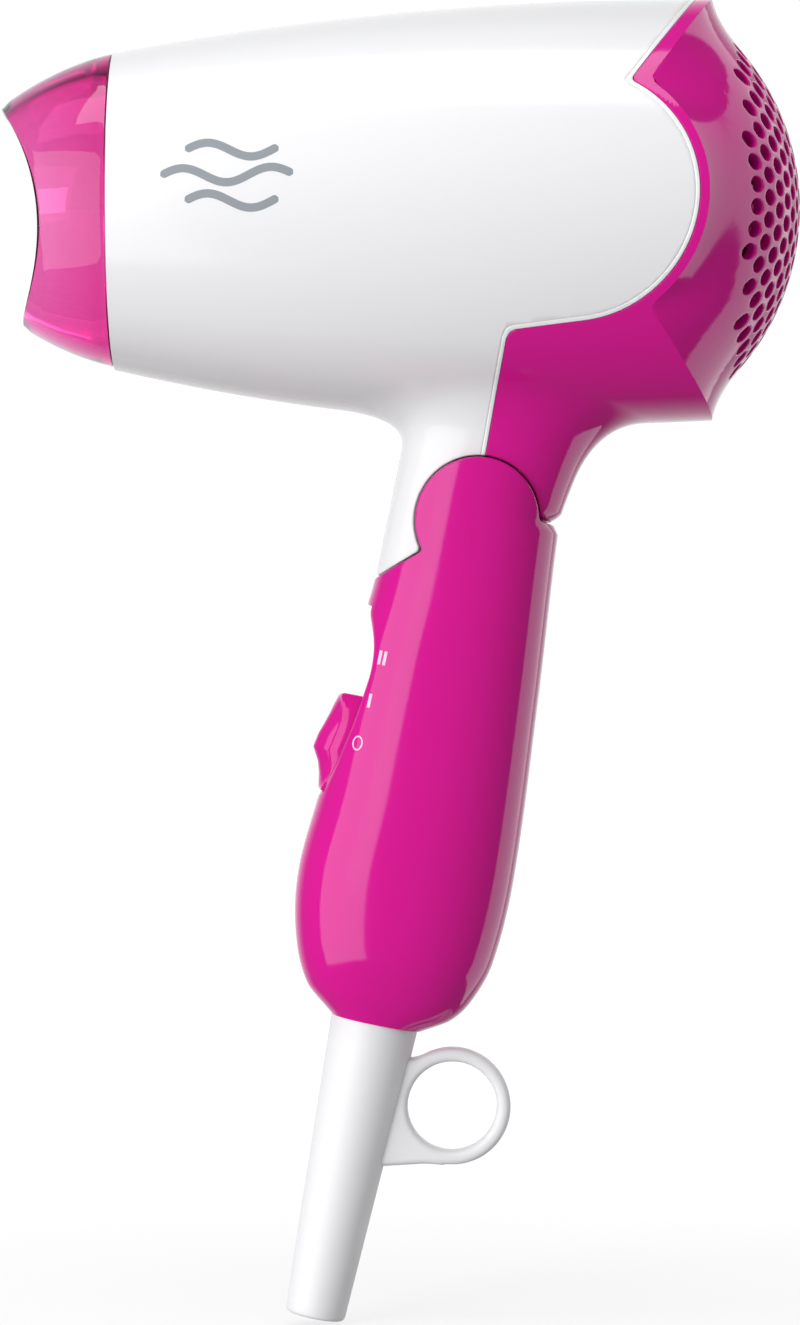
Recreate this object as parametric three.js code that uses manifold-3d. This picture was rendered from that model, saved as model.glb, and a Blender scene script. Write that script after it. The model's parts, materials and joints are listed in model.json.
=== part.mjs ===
// A folding travel hair dryer: a tapered barrel on a short neck, and a handle that folds forward
// under the barrel. Millimetres, +Z up, +X the way the air leaves, +Y the dryer's left.
// Everything is drawn from the hinge: the barrel hangs in the "barrel" group, and the handle in a group
// tilted to the grip's rake, where -Z runs down the grip and +X is its front. The last step moves the
// whole dryer so that the origin is the middle of the grip.
import * as THREE from "three";
import { mergeVertices } from "three/addons/utils/BufferGeometryUtils.js";
import Module from "manifold-3d";

const wasm = await Module();
wasm.setup();

// ---- Driving dimensions ------------------------------------------------------------------------
const gap = 0.3; // between pieces that touch or part from each other
const far = 200; // reaches past the whole dryer, for cutting tools

// Barrel, on an axis above the hinge
const barrelHeight = 65.3;
const mouthX = 75.8; // the barrel's front rim, ahead of the hinge
const rearX = -49.4; // the tail's sharp corner, at top and bottom
const mouthRadius = 32.9;
const rearRadius = 44.1;
const belly = 1.9; // how far the underside hangs below a round section
const shellWall = 2.2;

// Tail: a dished flare that runs from the barrel into the round inlet dome
const domeRadius = 50.4;
const domeRim = 37; // where the flare ends and the dome begins
const rimOverlap = 0.5;
const grilleThickness = 2;
const creaseSlope = 0.72;
const tongueX = -18.2; // centre of the white shell's round end, seen from the side
const tongueRadius = 26.3;
const tongueLip = 1.6; // pink edge between the white shell and the flare
const hole = { reach: 2.07, sides: 4, turn: 25, pitch: 4.55, field: 35.2 }; // inlet holes, on a honeycomb

// Nozzle
const nozzle = {
  step: 0.2, // how much narrower it starts than the barrel ends
  wall: 2.4,
  spigot: 4.6,
  spigotWall: 1.6,
  bevel: 2.1,
  reach: 14.6,
  taper: 0.219,
  curl: 0.0109,
};
const nozzleSaddle = { slope: 0.137, dish: 0.0128 };

// Neck and hinge
const rake = 11.5; // degrees that the grip leans from upright
const neckFront = 18.4;
const neckBack = -16.9;
const neckHalf = { top: 15, hinge: 13.4, tip: 11.6 };
const tipReach = 23.7; // from the hinge to the neck's front toe
const toeAngle = 40; // degrees below the grip's forward direction
const backStop = 2.7; // height above the hinge of the groove where neck and handle meet at the back
const grooveDepth = 1.2;
const earRadius = 13;
const drumHalf = 9; // half the width of the knuckle between the ears
const drumRadius = 12.6;
const hingeTube = { radius: 5.6, bore: 4.4, half: 12.4 };

// Handle
const handleLength = 107;
const handleWall = 2.2;
const earHalf = 16.4;
const gripHalf = 18.2;
const gripFront = 22.1;
const gripBack = -22.7;
const hoodTop = 21.7; // where the hood over the switch ends
const channelEnd = 61.7;
const channelFloor = 14.2;

// Slide switch
const knob = { half: 6.2, length: 21.1, peak: 24.2 };
const switchStep = 9.15; // from off to low, and from low to high
const stem = { half: 1.3, length: 5 };
const switchBox = { length: 30, half: 5.5, depth: 9, front: 8.2 };

// Cord sleeve and its hanging loop
const sleeve = { top: 9.2, end: 6.3, bore: 3.6, tail: 63, flange: 11, flangeThickness: 2.4 };
const loop = { outer: 12.2, inner: 9.4, half: 3.2, below: 14, behind: 19.5 };

// Air path
const motor = { radius: 13.2, length: 27, cap: 4 };
const shaftRadius = 1;
const guardThickness = 2;
const fan = { radius: 31, length: 11, hub: 10.5, blades: 7 };
const ductWall = 1.5;
const ductStart = -38;
const ductLength = 46;
const heater = { start: 20, length: 45, boardHalf: 22.6, board: 0.8, wire: 0.55, turns: 5, tubeWall: 0.7 };
const screw = { radius: 1.4, head: 2.6, headLength: 2, boss: 3.2 };

// Grip's middle, measured down the grip from the hinge: the origin of the finished part
const gripMiddle = 62;

// ---- Shape helpers -----------------------------------------------------------------------------
const sin = (degrees) => Math.sin(THREE.MathUtils.degToRad(degrees));
const cos = (degrees) => Math.cos(THREE.MathUtils.degToRad(degrees));
const range = (count) => [...Array(count).keys()];
const v3 = (x, y, z) => new THREE.Vector3(x, y, z);

// A closed geometry as a manifold-3d solid, turned the right way out.
function solid(geometry) {
  const plain = geometry.index ? geometry.toNonIndexed() : geometry.clone();
  const bare = new THREE.BufferGeometry().setAttribute("position", plain.getAttribute("position"));
  const merged = mergeVertices(bare, 1e-4);
  const triVerts = new Uint32Array(merged.index.array);
  const build = () =>
    new wasm.Manifold(
      new wasm.Mesh({ numProp: 3, vertProperties: merged.attributes.position.array, triVerts }),
    );
  const made = build();
  if (made.volume() >= 0) return made;
  for (let i = 0; i < triVerts.length; i += 3) {
    [triVerts[i + 1], triVerts[i + 2]] = [triVerts[i + 2], triVerts[i + 1]];
  }
  return build();
}

// A manifold-3d solid as a geometry.
function geometryOf(made) {
  const { vertProperties, triVerts } = made.getMesh();
  return new THREE.BufferGeometry()
    .setAttribute("position", new THREE.BufferAttribute(new Float32Array(vertProperties), 3))
    .setIndex(new THREE.BufferAttribute(new Uint32Array(triVerts), 1));
}

const union = (...solids) => solids.reduce((a, b) => a.add(b));
const cut = (body, ...tools) => tools.reduce((a, b) => a.subtract(b), body);

// A solid through rings of points. A closed loft joins its last ring to its first, as a shell does.
function loft(rings, closed = false) {
  const n = rings[0].length;
  const m = rings.length;
  const index = [];
  for (let i = 0; i < (closed ? m : m - 1); i++) {
    const [row, next] = [i * n, ((i + 1) % m) * n];
    for (let j = 0; j < n; j++) {
      const k = (j + 1) % n;
      index.push(row + j, row + k, next + k, row + j, next + k, next + j);
    }
  }
  for (let j = 1; j < n - 1 && !closed; j++) {
    const last = (m - 1) * n;
    index.push(0, j + 1, j, last, last + j, last + j + 1);
  }
  const points = rings.flat().flatMap((p) => [p.x, p.y, p.z]);
  return solid(
    new THREE.BufferGeometry()
      .setAttribute("position", new THREE.BufferAttribute(new Float32Array(points), 3))
      .setIndex(index),
  );
}

// A flat outline in the X-Z plane, carried from one Y to another.
function prism(outline, from, to) {
  const shape = outline instanceof THREE.Shape ? outline : new THREE.Shape(outline);
  const options = { depth: to - from, bevelEnabled: false, curveSegments: 16 };
  return solid(new THREE.ExtrudeGeometry(shape, options).rotateX(Math.PI / 2).translate(0, to, 0));
}

const box = (x0, x1, y0, y1, z0, z1) =>
  solid(
    new THREE.BoxGeometry(x1 - x0, y1 - y0, z1 - z0).translate((x0 + x1) / 2, (y0 + y1) / 2, (z0 + z1) / 2),
  );

// Round bars along X, Y and Z.
const barX = (r, x0, x1, y, z, sides = 32) =>
  solid(new THREE.CylinderGeometry(r, r, x1 - x0, sides).rotateZ(Math.PI / 2).translate((x0 + x1) / 2, y, z));
const barY = (r, y0, y1, x, z, sides = 32) =>
  solid(new THREE.CylinderGeometry(r, r, y1 - y0, sides).translate(x, (y0 + y1) / 2, z));
const barZ = (r, z0, z1, x, y, sides = 32) =>
  solid(new THREE.CylinderGeometry(r, r, z1 - z0, sides).rotateX(Math.PI / 2).translate(x, y, (z0 + z1) / 2));

// A profile of [axial, radius] points turned about the barrel's axis.
function turnedX(profile, sides = 28) {
  const points = [...profile, profile[0]].map(([x, r]) => new THREE.Vector2(r, x));
  return solid(new THREE.LatheGeometry(points, sides).rotateZ(-Math.PI / 2).translate(0, 0, barrelHeight));
}

// A tube along a smooth curve.
function tube(curve, radius, sides, steps) {
  const section = new THREE.Shape(
    range(sides).map((i) => {
      const turn = (i / sides) * 2 * Math.PI;
      return new THREE.Vector2(radius * Math.cos(turn), radius * Math.sin(turn));
    }),
  );
  return solid(new THREE.ExtrudeGeometry(section, { steps, extrudePath: curve, bevelEnabled: false }));
}

// Points along an arc about the origin.
function arcPoints(radius, from, to, steps) {
  return range(steps + 1).map((i) => {
    const turn = THREE.MathUtils.lerp(from, to, i / steps);
    return new THREE.Vector2(radius * Math.cos(turn), radius * Math.sin(turn));
  });
}

// A smooth function through [position, value] points.
function through(points) {
  const slope = (i) => {
    const [a, b] = [points[Math.max(i - 1, 0)], points[Math.min(i + 1, points.length - 1)]];
    return (b[1] - a[1]) / (b[0] - a[0]);
  };
  return (x) => {
    const i = Math.min(Math.max(points.findIndex((p) => p[0] > x) - 1, 0), points.length - 2);
    const last = x >= points[points.length - 1][0] ? points.length - 2 : i;
    const [[x0, y0], [x1, y1]] = [points[last], points[last + 1]];
    const width = x1 - x0;
    const t = Math.min(Math.max((x - x0) / width, 0), 1);
    const bend = t * (1 - t) * width;
    return y0 + (y1 - y0) * t * t * (3 - 2 * t) + bend * (slope(last) * (1 - t) - slope(last + 1) * t);
  };
}

// An oval ring across the grip: front and back are along X, half is the half width along Y.
function oval(z, front, back, half, sides, squareness = 2.3) {
  return range(sides).map((i) => {
    const turn = (i / sides) * 2 * Math.PI;
    const power = (value) => Math.sign(value) * Math.abs(value) ** (2 / squareness);
    const x = (front + back) / 2 + ((front - back) / 2) * power(Math.cos(turn));
    return v3(x, half * power(Math.sin(turn)), z);
  });
}

const material = (color, roughness, metalness = 0) =>
  new THREE.MeshStandardMaterial({ color, roughness, metalness });
const white = material(0xf1f1f2, 0.3);
const pink = material(0xc9207f, 0.25);
const tintedPink = material(0xe0489c, 0.08);
const blackPlastic = material(0x26262a, 0.5);
const mica = material(0xb9a585, 0.6);
const wireMetal = material(0x8f8a86, 0.35, 1);
const steel = material(0xa9abae, 0.3, 1);
const greyPlastic = material(0x5d6066, 0.5);
const brass = material(0xb9974c, 0.35, 1);
const board = material(0x2f6b45, 0.6);
const redSheath = material(0xa8202a, 0.5);
const blueSheath = material(0x2450a0, 0.5);

const dryer = new THREE.Group();
const placed = new THREE.Group(); // moved so that the origin is the grip's middle
const barrel = new THREE.Group();
const handle = new THREE.Group(); // tilted to the grip's rake
dryer.add(placed);
placed.add(barrel, handle);
placed.position.set(-gripMiddle * sin(rake), 0, gripMiddle * cos(rake));
handle.rotation.y = THREE.MathUtils.degToRad(-rake);

function add(group, name, made, finish) {
  const mesh = new THREE.Mesh(geometryOf(made), finish);
  mesh.name = name;
  group.add(mesh);
}

// A solid drawn in the grip's tilted frame, brought into the barrel's.
const fromGrip = (made) => made.rotate([0, -rake, 0]);

// ---- Barrel ------------------------------------------------------------------------------------
const bodySides = 32;
const neckSides = 20;

// Radius of the barrel's outside, which grows towards the tail and is full from just ahead of it.
const fullX = rearX + 5;
function barrelRadius(x) {
  const share = Math.max(0, (x - fullX) / (mouthX - fullX));
  return rearRadius - (rearRadius - mouthRadius) * share ** 2;
}
const sag = (x) => belly * Math.max(0, Math.sin((Math.PI * (x - rearX)) / (mouthX + 12 - rearX)));

// A point of the barrel's section at x, inset from the outside.
function barrelPoint(x, turn, inset = 0) {
  const r = barrelRadius(x) - inset;
  const drop = Math.sin(turn) < 0 ? sag(x) : 0;
  return v3(x, r * Math.cos(turn), barrelHeight + (r + drop) * Math.sin(turn));
}

// Where the barrel ends and the flare begins, at a height above the axis.
function flareStart(z) {
  const rise = Math.abs(z);
  const line = rearX + creaseSlope * (rearRadius - rise);
  const edge = tongueRadius + tongueLip;
  const arc = rise < edge ? tongueX - Math.sqrt(edge ** 2 - rise ** 2) : tongueX;
  const blend = 3;
  const mix = Math.max(blend - Math.abs(line - arc), 0) / blend;
  return Math.min(line, arc) - (mix ** 2 * blend) / 4;
}
const domeX = (r) => rearX - apexBehind + domeRadius - Math.sqrt(domeRadius ** 2 - r ** 2);
const apexBehind = 18.5; // from the tail's corner back to the dome's top

// The tail's outside from the barrel (t = 0) to the dome's edge (t = 1), dished in between.
function flarePoint(turn, t, inset) {
  const start = barrelPoint(flareStart(rearRadius * Math.sin(turn)), turn, inset);
  const radial = Math.hypot(start.y, start.z - barrelHeight);
  const endX = domeX(domeRim) + inset;
  const x = start.x + inset * 0.8 * (1 - t);
  const dish = 1.1 * Math.sin(Math.PI * t);
  const r = THREE.MathUtils.lerp(radial, domeRim, t) - dish;
  return v3(THREE.MathUtils.lerp(x, endX, t), r * Math.cos(turn), barrelHeight + r * Math.sin(turn));
}

// The barrel's filled outside (inset 0) or its hollow (inset by the wall).
function barrelSolid(inset) {
  const turns = range(bodySides).map((i) => (i / bodySides) * 2 * Math.PI);
  const front = inset ? far / 2 : 0;
  const rings = [];
  if (front) rings.push(turns.map((a) => barrelPoint(mouthX, a, inset).setX(mouthX + front)));
  for (const share of [0, 0.16, 0.32, 0.5, 0.68, 0.85, 1]) {
    rings.push(
      turns.map((a) => {
        const end = flareStart(rearRadius * Math.sin(a)) + inset * 0.8;
        return barrelPoint(THREE.MathUtils.lerp(mouthX, end, share), a, inset);
      }),
    );
  }
  for (const t of [0.33, 0.67, 1]) rings.push(turns.map((a) => flarePoint(a, t, inset)));
  rings.push(rings[rings.length - 1].map((p) => p.clone().setX(p.x - far / 4)));
  const body = loft(rings);
  if (!inset) return cut(body, box(-far, domeX(domeRim), -far, far, -far, far));
  return body;
}

// The neck, in the grip's frame: an oval post that swells where it meets the barrel.
function neckSolid(inset, bottom) {
  const swell = through([[bottom, 0], [12, 0], [17, 1.6], [21, 5.5], [26, 13], [34, 16]]);
  const half = through([
    [-tipReach, neckHalf.tip],
    [4, neckHalf.hinge],
    [14, neckHalf.top],
    [34, neckHalf.top],
  ]);
  const lean = through([[-tipReach, 0], [2, 0], [22, -3], [34, -3]]);
  const levels = [bottom, 2, 8, 13, 17, 21, 25, 30, 38];
  const ringAt = (z) =>
    oval(
      z,
      neckFront + swell(z) - inset,
      neckBack + lean(z) - swell(z) * 0.9 + inset,
      half(z) + swell(z) * 0.6 - inset,
      neckSides,
    );
  return loft(levels.map(ringAt));
}

// The white shell's outline seen from the side, down to the neck, grown outwards by a clearance.
function tongueOutline(grow) {
  const r = tongueRadius + grow;
  const line = (s, f) => [f * cos(rake) - s * sin(rake), f * sin(rake) + s * cos(rake)];
  const split = 1.2 - grow; // the neck's seam, ahead of the grip's axis
  const shape = new THREE.Shape();
  const top = rearRadius * 1.5;
  const notchX = tongueX - 13.9 - grow * 0.8;
  shape.moveTo(far, far);
  shape.lineTo(notchX - (top - 25) * 0.745, barrelHeight + top);
  shape.lineTo(notchX - 1.1, barrelHeight + 26.4);
  shape.quadraticCurveTo(notchX, barrelHeight + 25, notchX - 0.9, barrelHeight + 23.4);
  const begin = Math.PI - Math.asin(20.5 / r);
  const end = Math.PI + Math.asin(24.6 / r);
  shape.absarc(tongueX, barrelHeight, r, begin, end, false);
  shape.lineTo(-9, barrelHeight - 26.9 - grow);
  shape.quadraticCurveTo(-5.8 - grow, barrelHeight - 27.3 - grow, ...line(36, split));
  shape.lineTo(...line(-earRadius * 2.5, split));
  shape.lineTo(far, -far);
  shape.closePath();
  return shape;
}

// What the neck keeps at its lower end: the knuckle, and a toe that reaches down in front of it.
function neckKeep() {
  const shape = new THREE.Shape();
  const stop = backStop + gap;
  const edge = neckBack + grooveDepth;
  shape.moveTo(far, far);
  shape.lineTo(-far, far);
  shape.lineTo(-far, stop + 2 * grooveDepth);
  shape.lineTo(edge - 2 * grooveDepth, stop + 2 * grooveDepth);
  shape.lineTo(edge, stop);
  shape.lineTo(-Math.sqrt(drumRadius ** 2 - stop ** 2), stop);
  const start = Math.PI - Math.asin(stop / drumRadius);
  shape.absarc(0, 0, drumRadius, start, THREE.MathUtils.degToRad(360 - toeAngle), false);
  shape.absarc(0, 0, tipReach, THREE.MathUtils.degToRad(-toeAngle), 0, false);
  shape.lineTo(far, 0);
  shape.closePath();
  return prism(shape, -far, far);
}

function makeShells() {
  const pocket = (side) =>
    side > 0
      ? barY(earRadius + gap, drumHalf, far, 0, 0, 32)
      : barY(earRadius + gap, -far, -drumHalf, 0, 0, 32);
  const neck = cut(
    neckSolid(0, -tipReach - 3).intersect(neckKeep()),
    pocket(1),
    pocket(-1),
    barY(hingeTube.radius + gap, -far, far, 0, 0, 24),
  );
  const outside = barrelSolid(0).add(fromGrip(neck));
  const hollow = barrelSolid(shellWall);
  const aboveDrum = box(-far, far, -far, far, drumRadius, far);
  const wireWay = fromGrip(neckSolid(shellWall, hingeTube.radius).intersect(aboveDrum));
  const wireDrop = fromGrip(box(-3, 3, -drumHalf + 2.5, drumHalf - 2.5, 0, drumRadius + 1));
  const body = cut(outside, hollow, wireWay, wireDrop);
  const front = body.intersect(prism(tongueOutline(0), -far, far));
  const rear = cut(body, prism(tongueOutline(gap), -far, far)).add(domeSolid());
  add(barrel, "front_shell", front, white);
  add(barrel, "rear_shell", rear, pink);
}

// The dome with its inlet holes: a flat plate full of holes, bent to shape. Its rim is sunk in the flare.
function domeSolid() {
  const plate = new THREE.Shape();
  plate.absarc(0, 0, domeRim + rimOverlap, 0, 2 * Math.PI);
  const rowStep = hole.pitch * cos(30);
  const columns = Math.ceil(hole.field / rowStep);
  for (let column = -columns; column <= columns; column++) {
    const shift = column % 2 ? 0 : hole.pitch / 2;
    const y = column * rowStep;
    for (let row = -columns; row <= columns; row++) {
      const z = row * hole.pitch + shift;
      if (Math.hypot(y, z) > hole.field) continue;
      const corners = range(hole.sides).map((i) => {
        const turn = hole.turn - (360 / hole.sides) * i;
        return new THREE.Vector2(y + hole.reach * cos(turn), z + hole.reach * sin(turn));
      });
      plate.holes.push(new THREE.Path(corners));
    }
  }
  const options = { depth: grilleThickness, bevelEnabled: false, curveSegments: bodySides };
  const flat = new THREE.ExtrudeGeometry(plate, options);
  const at = flat.getAttribute("position");
  for (let i = 0; i < at.count; i++) {
    const [y, z, depth] = [at.getX(i), at.getY(i), at.getZ(i)];
    at.setXYZ(i, domeX(Math.hypot(y, z)) + depth, y, barrelHeight + z);
  }
  return solid(flat);
}

// Push-on nozzle: a tapering ring with a saddle-shaped, bevelled mouth and a spigot inside the barrel.
function makeNozzle() {
  const start = mouthX + gap;
  const seat = mouthRadius - nozzle.step;
  const outer = (x) => seat - nozzle.taper * (x - start) - nozzle.curl * (x - start) ** 2;
  const mouthAt = (turn) => {
    let x = start + nozzle.reach;
    for (let i = 0; i < 12; i++) {
      const z = outer(x) * Math.sin(turn);
      x = start + nozzle.reach + nozzleSaddle.slope * z + nozzleSaddle.dish * z * z;
    }
    return x;
  };
  const bore = mouthRadius - shellWall - gap;
  const sides = 32;
  const profile = (turn) => {
    const lip = mouthAt(turn);
    const rim = lip - nozzle.bevel;
    const mid = (start + rim) / 2;
    return [
      [start - nozzle.spigot, bore],
      [start, bore],
      [start, seat],
      [mid, outer(mid)],
      [rim, outer(rim)],
      [lip, outer(lip) - 0.4],
      [lip - 0.6, outer(lip) - nozzle.wall * 0.8],
      [mid, outer(mid) - nozzle.wall],
      [start + 1, bore - nozzle.spigotWall],
      [start - nozzle.spigot, bore - nozzle.spigotWall],
    ];
  };
  const turns = range(sides).map((i) => (i / sides) * 2 * Math.PI);
  const columns = turns.map((turn) =>
    profile(turn).map(([x, r]) => v3(x, r * Math.cos(turn), barrelHeight + r * Math.sin(turn))),
  );
  const rings = columns[0].map((_, i) => columns.map((column) => column[i]));
  add(barrel, "nozzle", loft(rings, true), tintedPink);
}

// ---- Air path ----------------------------------------------------------------------------------
// Guard behind the nozzle: three rings on six spokes.
function makeOutletGuard() {
  const back = mouthX - nozzle.spigot - guardThickness - 4 * gap;
  const outer = barrelRadius(mouthX) - shellWall - gap;
  const plate = new THREE.Shape(arcPoints(outer, 0, 2 * Math.PI, bodySides).slice(1));
  const [bands, spokes, bar] = [3, 6, 1.2];
  const hub = 4;
  const pitch = (outer - 1.6 - hub) / bands;
  for (let band = 0; band < bands; band++) {
    const inner = hub + band * pitch + bar / 2;
    const rim = hub + (band + 1) * pitch - bar / 2;
    for (let spoke = 0; spoke < spokes; spoke++) {
      const from = ((spoke + 0.5 * (band % 2)) * 2 * Math.PI) / spokes;
      const to = from + (2 * Math.PI) / spokes;
      const edge = (radius, side) => (side > 0 ? to - bar / radius : from + bar / radius);
      plate.holes.push(
        new THREE.Path([
          ...arcPoints(rim, edge(rim, 1), edge(rim, -1), 4),
          ...arcPoints(inner, edge(inner, -1), edge(inner, 1), 3),
        ]),
      );
    }
  }
  const flat = new THREE.ExtrudeGeometry(plate, { depth: guardThickness, bevelEnabled: false });
  const upright = flat.rotateY(Math.PI / 2).translate(back, 0, barrelHeight);
  add(barrel, "outlet_guard", solid(upright), blackPlastic);
}

function makeHeater() {
  const { start, length, boardHalf, board: thick, wire } = heater;
  const end = start + length;
  const middle = (start + end) / 2;
  const slot = thick / 2 + gap;
  const z = barrelHeight;
  const upright = cut(
    box(start, end, -thick / 2, thick / 2, z - boardHalf, z + boardHalf),
    box(start - 1, middle + gap, -far, far, z - slot, z + slot),
  );
  const level = cut(
    box(start, end, -boardHalf, boardHalf, z - thick / 2, z + thick / 2),
    box(middle - gap, end + 1, -slot, slot, -far, far),
  );
  add(barrel, "heater_board_upright", upright, mica);
  add(barrel, "heater_board_level", level, mica);

  const coilRadius = boardHalf + gap + wire;
  class Winding extends THREE.Curve {
    constructor(from, to, turns) {
      super();
      Object.assign(this, { from, to, turns });
    }
    getPoint(t, target = v3(0, 0, 0)) {
      const turn = t * this.turns * 2 * Math.PI;
      const x = THREE.MathUtils.lerp(this.from, this.to, t);
      return target.set(x, coilRadius * Math.cos(turn), z + coilRadius * Math.sin(turn));
    }
  }
  const inset = 3;
  const windings = [
    ["heater_coil_low", start + inset, middle - inset],
    ["heater_coil_high", middle + inset, end - inset],
  ];
  for (const [name, from, to] of windings) {
    const path = new Winding(from, to, heater.turns);
    add(barrel, name, tube(path, wire, 5, heater.turns * 8), wireMetal);
  }
  const sleeveIn = coilRadius + wire + gap * 2;
  const sleeveOut = sleeveIn + heater.tubeWall;
  const liner = [[start - 2, sleeveIn], [start - 2, sleeveOut], [end, sleeveOut], [end, sleeveIn]];
  add(barrel, "mica_liner", turnedX(liner), mica);

  const seat = z + thick / 2 + gap;
  const near = middle + 5;
  add(barrel, "thermostat_base", box(near, near + 9, 5, 11, seat, seat + 2), blackPlastic);
  const blade = box(near + 1, near + 8.5, 6, 10, seat + 2 + gap, seat + 2.9);
  add(barrel, "thermostat_blade", blade, brass);
  add(barrel, "thermal_fuse", barX(1.5, near, near + 9, -9, seat + 1.5, 12), steel);
}

// Duct with a cup for the motor and vanes that straighten the air.
const motorStart = ductStart + fan.length + 7;
function makeDuct() {
  const end = ductStart + ductLength;
  const inner = fan.radius + 0.8;
  const wallOuter = inner + ductWall;
  const flange = ductStart + 9; // clear of the flare
  const flangeRadius = barrelRadius(flange + 2) - shellWall - 2 * gap;
  const liner = heater.boardHalf + 4.4;
  const tubeWall = turnedX([
    [ductStart, inner],
    [ductStart, wallOuter],
    [flange, wallOuter],
    [flange, flangeRadius],
    [flange + 2, flangeRadius],
    [flange + 2, wallOuter],
    [end - 8, wallOuter],
    [end, liner + ductWall],
    [end, liner],
    [end - 8, inner],
  ]);
  const cupInner = motor.radius + gap;
  const cupEnd = motorStart + motor.length * 0.7;
  const cup = turnedX(
    [
      [motorStart - 1.5, 3.2],
      [motorStart - 1.5, cupInner + ductWall],
      [cupEnd, cupInner + ductWall],
      [cupEnd, cupInner],
      [motorStart, cupInner],
      [motorStart, 3.2],
    ],
    32,
  );
  const vanes = range(7).map((i) => {
    const vane = box(motorStart + 1, cupEnd - 2, -0.6, 0.6, cupInner + 0.8, inner + 0.5);
    return vane.rotate([(i * 360) / 7, 0, 0]).translate([0, 0, barrelHeight]);
  });
  add(barrel, "fan_duct", union(tubeWall, cup, ...vanes), greyPlastic);
}

function makeMotorAndFan() {
  const start = motorStart + gap;
  const end = start + motor.length;
  const can = turnedX(
    [
      [start, shaftRadius + 0.5],
      [start, motor.radius],
      [end, motor.radius],
      [end, motor.radius - 1.2],
      [start + 1.2, motor.radius - 1.2],
      [start + 1.2, shaftRadius + 0.5],
    ],
    28,
  );
  const cap = turnedX(
    [
      [end + gap, 3.6],
      [end + gap, motor.radius],
      [end + gap + motor.cap, motor.radius - 1.5],
      [end + gap + motor.cap, 3.6],
    ],
    28,
  );
  add(barrel, "motor_can", can, steel);
  add(barrel, "motor_end_cap", cap, blackPlastic);
  const plate = barX(11, end + motor.cap + 2 * gap, end + motor.cap + 2 * gap + 1.6, 0, barrelHeight, 24);
  const diodes = [-1, 1].flatMap((y) =>
    [-1, 1].map((z) => {
      const back = end + motor.cap + 2 * gap + 1;
      return box(back, back + 3.4, -2.4, 2.4, -1.3, 1.3).translate([0, y * 5, barrelHeight + z * 5]);
    }),
  );
  add(barrel, "rectifier_board", union(plate, ...diodes), board);

  const fanStart = ductStart + 3;
  const shaft = barX(shaftRadius, fanStart + 2, end - 3, 0, barrelHeight, 16);
  const armature = barX(motor.radius - 3.4, start + 5, end - 5, 0, barrelHeight, 20);
  add(barrel, "motor_shaft", shaft.add(armature), steel);

  const fanEnd = fanStart + fan.length;
  const hub = turnedX(
    [
      [fanStart, shaftRadius + gap],
      [fanStart, fan.hub * 0.55],
      [fanStart + 3.5, fan.hub * 0.9],
      [fanEnd, fan.hub],
      [fanEnd, fan.hub - 1.6],
      [fanStart + 3.5, fan.hub * 0.45],
      [fanEnd - 1, 3],
      [fanEnd - 1, shaftRadius + gap],
    ],
    28,
  );
  const blades = range(fan.blades).map((i) => {
    const rings = [0, 0.33, 0.67, 1].map((share) => {
      const radius = THREE.MathUtils.lerp(fan.hub - 1, fan.radius, share);
      const pitch = THREE.MathUtils.lerp(38, 24, share);
      const chord = THREE.MathUtils.lerp(6.2, 8.6, share);
      const middle = (fanStart + fanEnd) / 2 + 0.4;
      const sweep = 3.2 * share * share;
      return [[-1, -1], [1, -1], [1, 1], [-1, 1]].map(([along, side]) => {
        const [u, w] = [along * chord, side * 0.6];
        return v3(middle + u * sin(pitch) + w * cos(pitch), sweep + u * cos(pitch) - w * sin(pitch), radius);
      });
    });
    return loft(rings).rotate([(i * 360) / fan.blades, 0, 0]).translate([0, 0, barrelHeight]);
  });
  const trimmed = union(...blades).intersect(
    barX(fan.radius, fanStart + 0.2, fanEnd, 0, barrelHeight, 32),
  );
  add(barrel, "fan_impeller", hub.add(trimmed), blackPlastic);
}

// Leads that rise from the hinge through the neck to the heater.
function makeNeckLeads() {
  const leads = [["heater_lead", 3.4, redSheath], ["motor_lead", -3.4, blueSheath]];
  for (const [name, y, sheath] of leads) {
    const path = new THREE.CatmullRomCurve3([
      v3(-1.2, y, 9),
      v3(-2.4, y, 15),
      v3(-2.5, y * 1.3, 21),
      v3(4, y * 1.8, 27),
      v3(9.5, y * 1.8, 30.5),
      v3(heater.start - 5, y * 1.8, 33.6),
    ]);
    add(barrel, name, tube(path, 1.1, 8, 18), sheath);
  }
}

// ---- Handle, in the grip's frame ---------------------------------------------------------------
// Depths down the grip are positive here and become -Z.
const hoodFront = neckFront + 1;
const frontEdge = through([
  [-15, neckFront - 0.6],
  [16, neckFront + 0.1],
  [hoodTop, hoodFront],
  [28, 16.3],
  [34, 15.4],
  [40, 15.9],
  [48, 17.1],
  [channelEnd, gripFront - 1.4],
  [handleLength - 29, gripFront],
  [handleLength - 16.5, gripFront - 1.7],
  [handleLength - 5.6, gripFront - 6.3],
  [handleLength, sleeve.top],
]);
const backEdge = through([
  [-15, neckBack],
  [0, neckBack - 0.5],
  [34, gripBack + 2.5],
  [handleLength - 35, gripBack],
  [handleLength - 17, gripBack + 0.8],
  [handleLength - 8.5, gripBack + 3.5],
  [handleLength - 3.5, gripBack + 7],
  [handleLength, -sleeve.top - 0.9],
]);
const sideEdge = through([
  [-15, earHalf],
  [0, earHalf],
  [34, earHalf + 0.8],
  [handleLength - 32, gripHalf],
  [handleLength - 15, gripHalf - 1.1],
  [handleLength - 6, gripHalf - 4.7],
  [handleLength, sleeve.top + 0.4],
]);

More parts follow.
